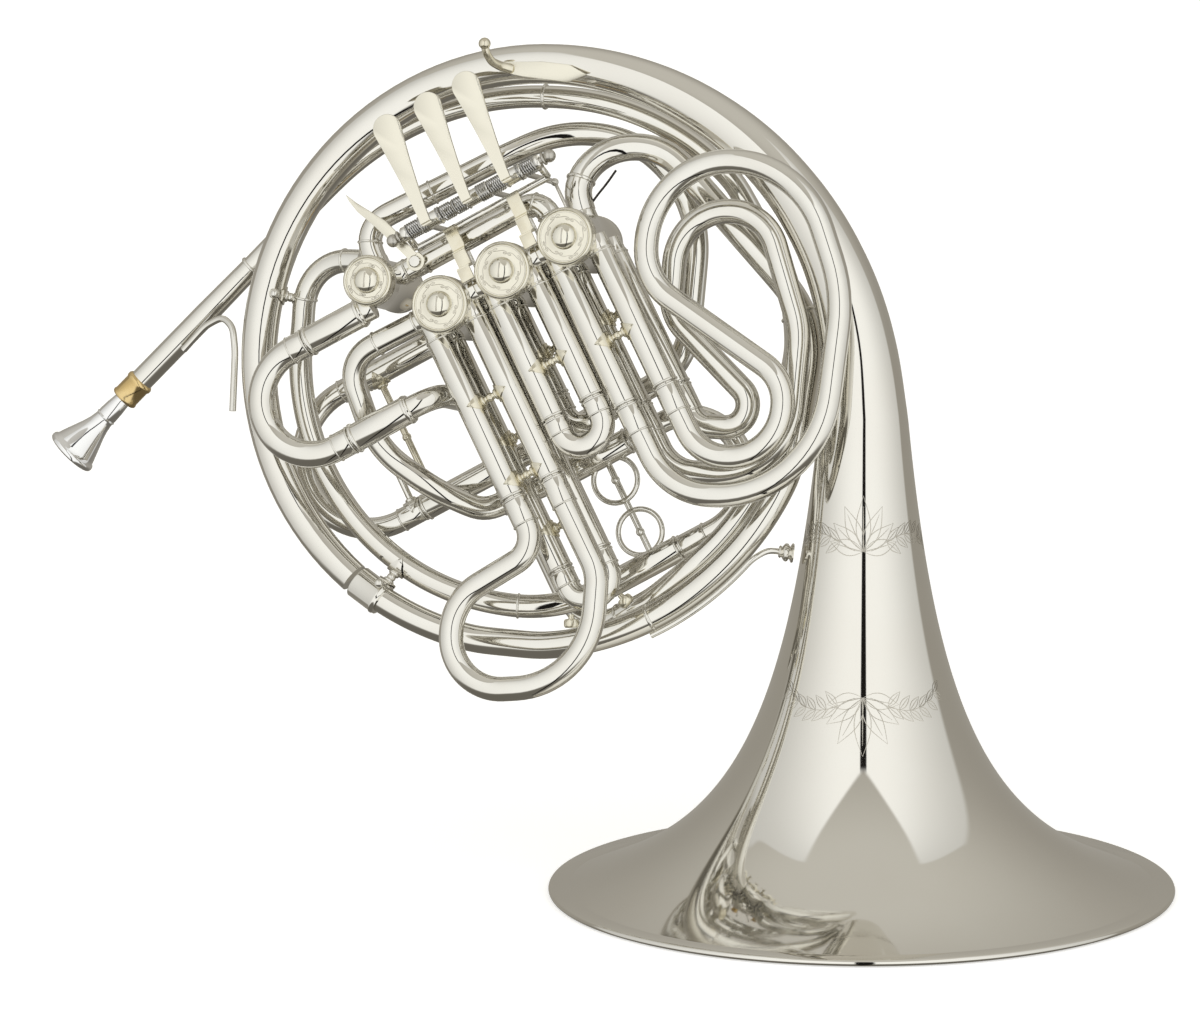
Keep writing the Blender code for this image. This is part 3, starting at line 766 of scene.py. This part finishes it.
# The other stubs on a casing: start and end as (v, e, d) from its axis, and radius.
STUBS = {
    "first": [((-28, -8), (-28, -17.6), 6.3)],
    "third": [((BB_TIER, 5.4, -4), (BB_TIER, 5.4, -15.4), 6.3), ((-17, -8, -4), (-17, -8, -15.6), 6.2)],
    "change": [
        ((-17, 6), (-17, 14.2), 6.2), ((-10, 0, -6), (-10, 0, -14.2), 6.2),
        ((MAIN_V, -6, 10.4), (MAIN_V, -13.2, 10.4), 6.2),
    ],
}


def make_valve(name, centre_e, centre_d):
    change = name == "change"
    radius = CHANGE_CASING_RADIUS if change else CASING_RADIUS

    def spot(v, e=0, d=0):
        return block(centre_e + e, centre_d + d, v)

    front, back = CASING_FRONT, CASING_BACK
    length = back - front
    body = [
        (radius - 1.5, 0), (radius, 0), (radius + 0.3, 0.5), (radius + 0.3, 2.4), (radius, 2.9),
        (radius - 0.25, 3.4), (radius - 0.25, length - 3.4), (radius, length - 2.9),
        (radius + 0.2, length - 2.2), (radius, length), (radius - 1.5, length),
    ]
    shapes = [turned(spot(front), spot(back), body, 64)]
    for depth in (F_TIER, BB_TIER):
        for side in () if change else (-LEG_OFFSET, LEG_OFFSET):
            shapes.append(rod(spot(depth, side, 5), spot(depth, side, 17), STUB_RADIUS))
        for way in NEIGHBOURS[name]:
            shapes.append(rod(spot(depth, way * 9), spot(depth, way * VALVE_PITCH / 2), STUB_RADIUS))
    shapes += [rod(spot(*start), spot(*end), stub) for start, end, stub in STUBS.get(name, ())]
    piece(f"{name}_valve_casing", SILVER, shapes, f"{name}_casing")
    make_cap(name, centre_e, centre_d, radius)
    bearing = [(3.3, 0), (radius, 0), (radius + 0.2, 1), (radius - 0.6, 2.8), (7.6, 3), (3.3, 3)]
    plate_shape = turned(spot(back + GAP), spot(back + 2), bearing, 64, closed=True)
    piece(f"{name}_back_plate", SILVER, [plate_shape], f"{name}_bearing_plate")
    hub = 6 if change else 6.4
    stop = [
        (2.7, 3.6), (2.8, 11.8), (hub - 1, 12), (hub, 12.5), (hub, 13.4), (hub - 1.6, 14.2),
        (hub - 1.6, 17.4), (hub, 18.2), (hub, 19.5), (hub - 1, 20), (3.2, 20.2), (3, 21), (0, 21.2),
    ]
    core = rod(spot(front + 0.4), spot(back - 0.4), radius - 2.8, 40)
    hub_shapes = [turned(spot(0), spot(1), stop, 48), core]
    piece(f"{name}_rotor_hub", BRASS, hub_shapes, f"{name}_rotor", f"{name}_rotor_body")


# ---- slides


def leg_pair(name, node, starts, ends, v, along=False, radius=SLEEVE_RADIUS, braces=()):
    """Two fixed sleeves with a rolled ring at each mouth and leaf braces between them."""

    def spot(across, length):
        return block(length, across, v) if along else block(across, length, v)

    legs, tops = starts
    shapes = []
    for leg, top in zip(legs, tops):
        mouth = Vector(spot(leg, ends)[:3])
        inward = Vector(spot(leg, top)[:3])
        ahead = (mouth - inward).normalized()
        shapes.append(rod(inward, mouth, radius, 32, 0.4))
        shapes.append(band(inward + ahead * 1.5, inward + ahead * 2.6, radius, 0.8, 0.4))
        shapes.append(band(mouth - ahead * 0.8, mouth, radius, 1.2, 0.45))
    piece(name, SILVER, shapes, node)
    for index, at in enumerate(braces):
        a, b = spot(legs[0], at), spot(legs[1], at)
        way = Vector(spot(legs[0], at + 10)) - Vector(a)
        piece(f"{name}_brace_{index}", CREAM_TRIM, brace(a, b, way, way, radius, radius))


def make_crook(name, node, corners, leg, body, bow=BOW_RADIUS):
    """A slide's bow with its inner legs, and a ringed ferrule where each leg meets the bow."""
    inner = LEG_RADIUS + bow - BOW_RADIUS
    line = bend(corners)
    shapes, shoulders = [], []
    for tip, follow in ((line[0], line[1]), (line[-1], line[-2])):
        way = (follow - tip).normalized()
        shoulder = tip + way * leg
        ferrule = min(FERRULE_LENGTH, (follow - shoulder).length)
        shoulders.append(shoulder)
        shapes += [
            tube([tip, shoulder + way * 0.6], inner),
            rod(shoulder, shoulder + way * ferrule, bow + 0.35, 32, 0.3),
            band(shoulder + way * 0.7, shoulder + way * 3, bow, 1.3, 0.75),
            band(shoulder + way * (ferrule - 0.6), shoulder + way * (ferrule + 1), bow, 1.1, 0.7),
        ]
    shapes.append(tube([shoulders[0], *line[1:-1], shoulders[1]], bow))
    piece(name, SILVER, shapes, node, body)


# The mouths of each tier's sleeves and the places of their braces, down the valve slides.
ENDS = {"f": (101, 75.6, 87), "bb": (140, 62, 86)}
BRACES = {"f": ((51, 94), (50,), (54,)), "bb": ((70, 120), (40,), (40,))}
# The bows that aren't plain: corners (u, w, bend radius) from the left leg to the right one.
BOWS = {
    ("f", 0): [
        (19.5, -97, 14), (-22.5, -125.5, 28), (-20.5, -170.5, 26), (51, -162, 42), (51, -106.8, 24),
    ],
    ("f", 2): [
        (84.3, -65, 36), (160, -65, 56), (165, 38, 75), (139, 99, 50), (62.8, 99, 42),
        (62.8, 38.4, 30), (139, -6.2, 22), (139, -46, 26), (98.5, -46, 24),
    ],
    ("bb", 2): [
        (77.5, -53.6, 22), (137, -54, 38), (138, 20, 45), (116, 76, 25), (71, 76, 27),
        (71, 23.4, 24), (114.5, -14.4, 11), (114.5, -30.5, 11), (89.3, -30.5, 12),
    ],
}


def make_valve_slides():
    for tier, depth in (("f", F_TIER), ("bb", BB_TIER)):
        for index, name in enumerate(("first", "second", "third")):
            middle = index * VALVE_PITCH
            left, right = middle - LEG_OFFSET, middle + LEG_OFFSET
            mouth = ENDS[tier][index]
            leg_pair(
                f"{tier}_{name}_sleeve_pair", f"{tier}_{name}_sleeves", ((left, right), (SLEEVE_TOP,) * 2),
                mouth, depth, braces=BRACES[tier][index],
            )
            reach = min(LEG_INSIDE, mouth - SLEEVE_TOP - 8)
            start = block(left, mouth - reach, depth)
            end = block(right, mouth - reach, depth)
            if (tier, index) in BOWS:
                bow = [(u, depth, w, radius) for u, w, radius in BOWS[tier, index]]
            else:
                low = mouth + 20.0
                bow = [block(side, low, depth, LEG_OFFSET - 0.2) for side in (left, right)]
            body = f"{tier}_{name}_crook"
            make_crook(f"{tier}_{name}_bow", f"{tier}_{name}_slide", [start, *bow, end], reach + 0.6, body)


def tuning_corners(upper, lower, v, mouth, bow_e, reach):
    way = 1 if bow_e > mouth else -1.0
    half = (lower - upper) / 2
    far = bow_e + way * half
    return [
        block(mouth - way * reach, upper, v),
        block(far, upper, v, half - 0.2),
        block(far, lower, v, half - 0.2),
        block(mouth - way * reach, lower, v),
    ]


def make_tuning_slides():
    for name, d, start in (("upper", -17.6, -39.6), ("lower", 36.7, -38.6)):
        inward, mouth = Vector(block(start, d, MAIN_V)), Vector(block(-72, d, MAIN_V))
        ahead = (mouth - inward).normalized()
        shapes = [
            rod(inward, mouth, 7.1, 32, 0.4),
            band(mouth - ahead, mouth, 7.1, 2, 0.8),
            band(inward + ahead * 2, mouth, 7, 2.2, 0.6),
        ]
        piece(f"main_{name}_sleeve_tube", SILVER, shapes, f"main_tuning_{name}_sleeve")
    corners = tuning_corners(-17.6, 36.7, MAIN_V, -72, -82, 22)
    make_crook("main_tuning_bow", "main_tuning_slide", corners, 22.6, "main_crook", 6.7)

    leg_pair("f_tuning_sleeve_pair", "f_tuning_sleeves", ((92, 152), (-1.6, -3)), 41, F_TUNING_V, True)
    hoops = [rod(block(26, 92, F_TUNING_V + 1), block(26, 152, F_TUNING_V + 1), 1.6, 16)]
    for d in (106.5, 135.5):
        hoops.append(hoop(block(26, d, F_TUNING_V), (0, 1, 0), 11.4, 1.35))
        hoops.append(ball(block(26, d, F_TUNING_V), 2.2))
    piece("pull_rings", SILVER, hoops)
    corners = tuning_corners(92, 152, F_TUNING_V, 41, 60, 30)
    make_crook("f_tuning_bow", "f_tuning_slide", corners, 30.6, "f_tuning_crook", TUNING_BOW)

    leg_pair(
        "bb_tuning_sleeve_pair", "bb_tuning_sleeves", ((2.2, 74.3), (-17, -20)), -67, BB_TUNING_V, True,
        braces=(-60,),
    )
    corners = tuning_corners(2.2, 74.3, BB_TUNING_V, -67, -80.6, 30)
    make_crook("bb_tuning_bow", "bb_tuning_slide", corners, 30.6, "bb_tuning_crook", TUNING_BOW)


def make_branches():
    routes = {
        "change_to_bb": (5.9, "change_to_bb_tube", [
            block(-28, -39, -10),
            block(-28, -60, -10, 14),
            block(50, -60, 2, 60),
            block(98, -60, 18, 60),
            (73.5, 22, 87.5, 60),
            (73, 19, -0.8, 36),
            block(-17, 74.3, BB_TUNING_V),
        ]),
        "change_to_third": (5.9, "change_to_third_tube", [
            block(-16, -28, -17), block(64, -28, -17, 8.5), block(64, -13.5, -17),
        ]),
        "inner_ring": (5.8, "f_inner_ring", [
            (-92, -4, 40.5),
            (-INNER_RING, 3, 40.5, 25),
            *ring(INNER_RING, 176, 264, 6, 8),
            (15.1, 14, -126.2, 70),
            block(-2, 152, F_TUNING_V),
        ]),
        "first_to_f": (5.9, "first_to_f_tube", [
            block(-13.5, 0, -28),
            block(-40, -0.5, -28),
            block(-59, -1, -27, 18),
            block(-69, 42, -9, 42),
            block(-52, 74, -4, 40),
            block(-38, 92, 10, 14),
            block(-1, 92, F_TUNING_V),
        ]),
    }
    for name, (radius, node, route) in routes.items():
        line = smoothed(bend(route), 2.5, 3)
        shapes = [tube(line, radius)]
        for share in (0.03, BAND_SHARE, 1 - BAND_SHARE, 0.97):
            at = round(share * (len(line) - 2))
            shapes.append(band(line[at], line[at + 1], radius, 1.3, 0.6))
        piece(f"{name}_run", SILVER, shapes, node)


# ---- levers


def paddle_outline(e, tip_e):
    """A finger plate seen from the front: narrow at the hinge, widening to a rounded touch."""
    start, end = ROD_D + 3.5, -88.0
    tip_radius = 7.3
    left, right, cap = [], [], []
    steps = 10
    for index in range(steps + 1):
        share = index / steps
        half = 2.6 + (tip_radius - 2.6) * share ** 1.5
        middle = e + (tip_e - e) * share
        d = start + (end - start) * share
        v = -49.8 - 1.4 * sin(pi / 2 * share)
        left.append(block(middle - half, d, v))
        right.append(block(middle + half, d, v))
    for index in range(1, 12):
        angle = pi * index / 12
        cap.append(block(tip_e + tip_radius * cos(angle), end - tip_radius * sin(angle), -51.2))
    return left + list(reversed(cap)) + list(reversed(right))


def on_rod(e):
    """A point on the rod that the levers turn on."""
    return block(e, ROD_D, ROD_V)


def wound(spans, radius):
    """Springs round the levers' rod, one over each span along it."""
    return [
        coil(on_rod(start), on_rod(end), radius, 0.42, (end - start) / SPRING_PITCH)
        for start, end in spans if end > start
    ]


def make_levers():
    for name, e, arm_e, shift in zip(("first", "second", "third"), LEVER_E, ARM_E, (3, 3, 2.5)):
        low, high = min(e - 5, arm_e - 2), max(e + 5, arm_e + 2)
        width = high - low
        hub = [
            (2.1, 0), (4, 0.2), (4.2, 0.8), (4, 1.6), (4, width - 1.6), (4.2, width - 0.8),
            (4, width - 0.2), (2.1, width),
        ]
        knee = [block(side, ROD_D + along, v) for side, along, v in
                ((e - 2.6, 3, -37), (e - 2.6, 4.5, -49.8), (e + 2.6, 4.5, -49.8), (e + 2.6, 3, -37))]
        out = Vector(block(0, 1, 0)[:3]) - Vector(block(0, 0, 0)[:3])
        body = f"{name}_key"
        paddle = [plate(paddle_outline(e, e + shift), 1.7, (0, -1, 0), 0.4), plate(knee, 1.6, -out, 0.2)]
        piece(f"{name}_key_plate", CREAM, paddle, f"{name}_lever", body)
        elbow, tip = block(arm_e, ROD_D, ARM_V), block(arm_e, 4, ARM_V)
        arm = [
            turned(on_rod(low), on_rod(high), hub, 32, closed=True),
            rod(block(arm_e, ROD_D, ROD_V + 2), elbow, 1.5, 16),
            rod(block(arm_e, ROD_D - 2, ARM_V), tip, 0.9, 12),
            ball(elbow, 2),
            ball(tip, 1.5),
        ]
        piece(f"{name}_key_arm", SILVER, arm, "", body)
        spans = ((low + 0.4, e - 2.9), (e + 2.9, high - 0.4))
        piece(f"{name}_key_coil", STEEL, wound(spans, 4.2), "", body)
    shaft = [
        rod(on_rod(-7), on_rod(79), 1.6, 20),
        ball(on_rod(-9.4), 3.3),
        ball(on_rod(80.8), 3.3),
        band(on_rod(-5.9), on_rod(-4.9), 2.4, 1.6, 1),
        band(on_rod(77.6), on_rod(78.6), 2.4, 1.6, 1),
        band(on_rod(25.8), on_rod(26.8), 3.2, 1, 0.6),
    ]
    piece("hinge_shaft", GREY, shaft, "hinge_rod")
    springs = {
        "first": ((-0.6, 6), (19.5, 25.2)),
        "second": ((26.4, 32), (46.8, 54.4)),
        "third": ((66, 73.4),),
    }
    for name, spans in springs.items():
        piece(f"{name}_key_spring", STEEL, wound(spans, 3.9), f"{name}_lever_spring")


def make_bracket():
    bar_d, bar_v = -33.5, -26.5
    shapes = [rod(block(-2, bar_d, bar_v), block(74, bar_d, bar_v), 1.8, 20)]
    for e in (-2, 73.8):
        shapes.append(rod(block(e, bar_d, bar_v), block(e, ROD_D + 1, ROD_V + 1), 1.8, 16))
        post = [(2, -1.8), (3.4, -1.8), (3.8, -1.2), (3.8, 1.2), (3.4, 1.8), (2, 1.8)]
        shapes.append(turned(on_rod(e), on_rod(e + 1), post, 32, closed=True))
    piece("bracket_bar", SILVER, shapes, "lever_bracket")
    straps = []
    for e in (18, 54):
        corners = [(-34.5, -28.5), (-22, -28.5), (-20.5, -31.5), (-12, -31.5), (-10.5, -38.2), (-4.5, -38.4)]
        for (d0, v0), (d1, v1) in zip(corners, corners[1:]):
            a, b = Vector(block(e, d0, v0)), Vector(block(e, d1, v1))
            side = Vector(block(e + 3.4, d0, v0)) - a
            way = (b - a).normalized()
            out = side.normalized().cross(way)
            if out.y > 0:
                out = -out
            a -= way * 0.3
            b += way * 0.3
            straps.append(plate([a - side, b - side, b + side, a + side], 1.3, out, 0.15))
    piece("bracket_straps", CREAM_TRIM, straps)


def make_thumb_lever():
    e, d = -5.5, -28.0
    disc = [(2.3, 0), (4.6, 0.1), (4.8, 0.7), (4.6, 2.1), (2.3, 2.2)]
    blade = [
        (-25.2, -76.5, -18), (-21.6, -70, -20), (-16.6, -62.5, -22.5), (-11, -54, -24),
        (-6.5, -42, -25.5), (-3, -31, -26.4), (-8, -30.5, -26.4), (-13, -44, -25.5),
        (-18, -56, -24), (-22.4, -65, -22), (-24.6, -72, -19.5),
    ]
    pivot, ahead = block(e, d, -25), block(e, d, -26)
    shapes = [
        turned(pivot, ahead, disc, 32, closed=True),
        plate([block(*spot) for spot in blade], 1.2, (0, -1, 0), 0.25),
    ]
    piece("thumb_key_blade", CREAM, shapes, "thumb_lever", "thumb_key")
    screw = [(1.7, -2), (1.7, 2.4), (3, 2.5), (3.1, 3.1), (2.6, 3.7), (0, 3.9)]
    piece("thumb_key_pivot", SILVER, [turned(pivot, ahead, screw, 28)], "thumb_lever_pivot")


# ---- braces and hooks


def make_trim():
    hook_plate = [
        (-26, -11.2, 138), (-24, -11.2, 143), (-4, -11.2, 144.2), (10, -11.2, 143.4), (19.5, -11.2, 138.8),
        (10, -11.2, 134.6), (-14, -11.2, 136.2),
    ]
    route = [(-20, -11.6, 139.6), (-25, -15, 140.6), (-27.5, -21, 142), (-29, -26, 145.5), (-29.6, -28, 150)]
    hook = smoothed(route, 1, 4)
    piece("pinky_hook_plate", CREAM, [plate(hook_plate, 1.5, (0, -1, 0), 0.3)], "pinky_hook")
    wire = tube(hook, [(0, 2.6), (16, 2), (22, 2)], 20)
    piece("pinky_hook_wire", CREAM_TRIM, [wire, ball((-29.6, -28, 150.2), 3)])

    route = [*ring(152.8, -62, -38, 0, 0), (127, 3, -88.8, 6), (132.8, 7.9, -89)]
    line = smoothed(bend(route), 1.5, 4)
    piece("bell_brace_wire", SILVER, [tube(line, 1.5, 16)], "bell_brace")
    a, b = Vector((131.5, 7.4, -89)), Vector((137.4, 9.6, -89.2))
    foot = [
        (1.4, 0), (2.6, 0.1), (3.2, 0.8), (2.5, 1.6), (3.4, 2.2), (4.3, 3), (4.6, 3.8), (4.3, 4.6),
        (3.3, 5.2), (3.1, 5.6), (4.2, 6), (4.9, 6.6), (4.6, 7.4), (1, 7.6),
    ]
    piece("bell_brace_foot", SILVER, [turned(a, b, foot, 40)], "bell_brace_ferrule")

    route = [
        (-187.5, 10, -8.5), (-176, 7, 4), (-166, 4, 9), (-159, 0, 4), (-156, -2, -8), (-154.4, -3, -38),
    ]
    piece("leadpipe_strap", SILVER, [tube(smoothed(route, 2, 3), 1.7, 16)], "leadpipe_brace")

    for index, (angle, radius) in enumerate(((171, 9.3), (240, 9))):
        at = ring_spot(RING, angle, -0.5)
        way = ring_spot(RING, angle + 1, -0.5) - at
        shapes = brace(at, ring_spot(INNER_RING, angle, 6.5), way, way, radius, 5.8)
        shapes.append(ball(ring_spot(137, angle, -8.5), 2.4))
        piece(f"ring_brace_{index}", SILVER, shapes)

    upper, lower = block(-72, 2.2, BB_TUNING_V), block(-72, 74.3, BB_TUNING_V)
    way = Vector(block(-73, 2.2, 0)) - Vector(block(-72, 2.2, 0))
    piece("bb_tuning_bow_brace", SILVER, brace(upper, lower, way, way, 6.1, 6.1), "", "bb_tuning_crook")

    route = ((76.9, -12.4), (81.9, -15.5), (87.3, -18.2), (94.5, -21.2), (101.5, -24.8))
    string = smoothed([block(e, d, -6) for e, d in route], 1.5, 3)
    piece("linkage_string", DARK, [tube(string, 0.6, 10)])

    knobs = []
    for e, d in ((12.8, 170.2), (-18.2, 167.5)):
        start, end = block(e * 0.86, d - 5.4, BB_TIER), block(e, d, BB_TIER)
        profile = [(1.4, 0), (1.6, 2), (3.4, 2.4), (3.8, 3.2), (3.8, 5.6), (3.2, 6.4), (0, 6.8)]
        knobs.append(turned(start, end, profile, 32))
    piece("bb_first_pull_knobs", CREAM_TRIM, knobs, "", "bb_first_crook")


# ---- stage


CAMERA_TURN = radians(18.1)
CAMERA_RISE = radians(11.9)
CAMERA_DISTANCE = 6.0
VIEW_WIDTH = 0.5936
AIM_RIGHT = -129.4
AIM_UP = 187.2


def camera_axes():
    """Right, up and back of the camera, in the world."""
    right = Vector((cos(CAMERA_TURN), sin(CAMERA_TURN), 0))
    back = Vector((
        sin(CAMERA_TURN) * cos(CAMERA_RISE),
        -cos(CAMERA_TURN) * cos(CAMERA_RISE),
        sin(CAMERA_RISE),
    ))
    return right, back.cross(right), back


def make_camera():
    right, up, back = camera_axes()
    target = (Vector((BELL_X, 0, 0)) + right * AIM_RIGHT + up * AIM_UP) * MM
    data = bpy.data.cameras.new("camera")
    data.sensor_width = 36.0
    data.lens = data.sensor_width * CAMERA_DISTANCE / VIEW_WIDTH
    data.clip_end = 100.0
    camera = new_object("camera", data)
    facing = Matrix((right, up, back)).transposed().to_4x4()
    camera.matrix_world = Matrix.Translation(target + back * CAMERA_DISTANCE) @ facing
    bpy.context.scene.camera = camera


def make_floor():
    made, shader = new_material("studio_floor", (0.93, 0.93, 0.925), 0.9, 0.0)
    set_inputs(shader, {"Emission Color": (1.0, 1.0, 1.0, 1.0), "Emission Strength": FLOOR_GLOW})
    mesh = bmesh.new()
    bmesh.ops.create_circle(mesh, cap_ends=True, segments=96, radius=14.0)
    floor = mesh_object("floor", mesh, made)
    floor.location = (0, 0, -0.0005)
    floor.visible_glossy = False


# The studio, as directions seen from the horn: angles in degrees from the camera's direction.
SLOT_EDGE = (3.0, 4.2)
SLOT_TOP = (39.0, 42.0)
PANEL_LEFT = (110.0, 118.0)
PANEL_RIGHT = (101.0, 107.0)
PANEL_TOP = (40.0, 70.0)
PANEL_CORNER = 95.0
PANEL_ROUND = (84.0, 108.0, 0.0, 22.0)
PANEL_FOOT = (-38.0, -26.0)
PANEL_BRIGHT = (1.12, 1.12, 1.095)
PANEL_DIM = (0.66, 0.655, 0.63)
PANEL_FADE = (15.0, 118.0)
ROOM_HIGH = (0.62, 0.60, 0.55)
ROOM_LOW = (0.36, 0.34, 0.30)
ROOM_FLOOR = (0.16, 0.15, 0.13)
SLOT_COLOUR = (0.012, 0.011, 0.010)
BACKDROP = (1.0, 1.0, 1.0)
FLOOR_GLOW = 0.5


def make_world():
    """Two broad white panels with a narrow dark gap, in a taupe room; white to the camera itself."""
    world = bpy.data.worlds.new("studio")
    world.use_nodes = True
    tree = world.node_tree
    nodes, links = tree.nodes, tree.links
    place = nodes.new("ShaderNodeTexCoord")

    def along(axis):
        dot = nodes.new("ShaderNodeVectorMath")
        dot.operation = "DOT_PRODUCT"
        links.new(place.outputs["Generated"], dot.inputs[0])
        dot.inputs[1].default_value = axis
        return dot.outputs["Value"]

    def math_node(operation, *values):
        made = nodes.new("ShaderNodeMath")
        made.operation = operation
        for index, value in enumerate(values):
            if isinstance(value, float):
                made.inputs[index].default_value = value
            else:
                links.new(value, made.inputs[index])
        return made.outputs["Value"]

    def step(value, low, high, before, after):
        made = map_range(tree, value, low, high, before, after)
        made.interpolation_type = "SMOOTHSTEP"
        return made.outputs["Result"]

    def mix(factor, first, second):
        made = nodes.new("ShaderNodeMix")
        made.data_type = "RGBA"
        links.new(factor, made.inputs["Factor"])
        for index, colour in ((6, first), (7, second)):
            if isinstance(colour, tuple):
                made.inputs[index].default_value = (*colour, 1.0)
            else:
                links.new(colour, made.inputs[index])
        return made.outputs[2]

    right, _, back = camera_axes()
    level = Vector((back.x, back.y, 0)).normalized()
    across = math_node("DEGREES", math_node("ARCTAN2", along(right), along(level)))
    rise = math_node("DEGREES", math_node("ARCSINE", along(Vector((0, 0, 1)))))
    left = step(across, -PANEL_LEFT[1], -PANEL_LEFT[0], 0.0, 1.0)
    width = math_node("MULTIPLY", left, step(across, *PANEL_RIGHT, 1.0, 0.0))
    aside = math_node("ABSOLUTE", across)
    corner = math_node("MINIMUM", math_node("DIVIDE", aside, PANEL_CORNER), 1.0)
    curve = math_node("POWER", math_node("SINE", math_node("MULTIPLY", corner, pi / 2)), 1.15)
    lift = math_node("MULTIPLY", curve, PANEL_TOP[1] - PANEL_TOP[0])
    edge = math_node("SUBTRACT", math_node("ADD", lift, PANEL_TOP[0]), step(aside, *PANEL_ROUND))
    over = math_node("SUBTRACT", rise, edge)
    height = math_node("MULTIPLY", step(rise, *PANEL_FOOT, 0.0, 1.0), step(over, -1.0, 1.5, 1.0, 0.0))
    room = mix(step(rise, 5.0, 75.0, 0.0, 1.0), ROOM_LOW, ROOM_HIGH)
    room = mix(step(rise, -50.0, -5.0, 1.0, 0.0), room, ROOM_FLOOR)
    light = mix(step(aside, *PANEL_FADE, 0.0, 1.0), PANEL_BRIGHT, PANEL_DIM)
    lit = mix(math_node("MULTIPLY", width, height), room, light)
    slot = math_node("MULTIPLY", step(aside, *SLOT_EDGE, 1.0, 0.0), step(rise, *SLOT_TOP, 1.0, 0.0))
    seen = mix(slot, lit, SLOT_COLOUR)
    ray = nodes.new("ShaderNodeLightPath")
    shown = mix(ray.outputs["Is Camera Ray"], seen, BACKDROP)
    links.new(shown, nodes["Background"].inputs["Color"])
    nodes["Background"].inputs["Strength"].default_value = 1.0
    bpy.context.scene.world = world
    bpy.context.scene.view_settings.view_transform = "Standard"


def main():
    make_bell()
    make_engraving()
    make_outer_ring()
    make_leadpipe()
    make_mouthpiece()
    for valve, (centre_e, centre_d) in VALVES.items():
        make_valve(valve, centre_e, centre_d)
    make_valve_slides()
    make_tuning_slides()
    make_branches()
    make_levers()
    make_bracket()
    make_thumb_lever()
    make_trim()
    make_camera()
    make_floor()
    make_world()


main()
bpy.context.view_layer.update()
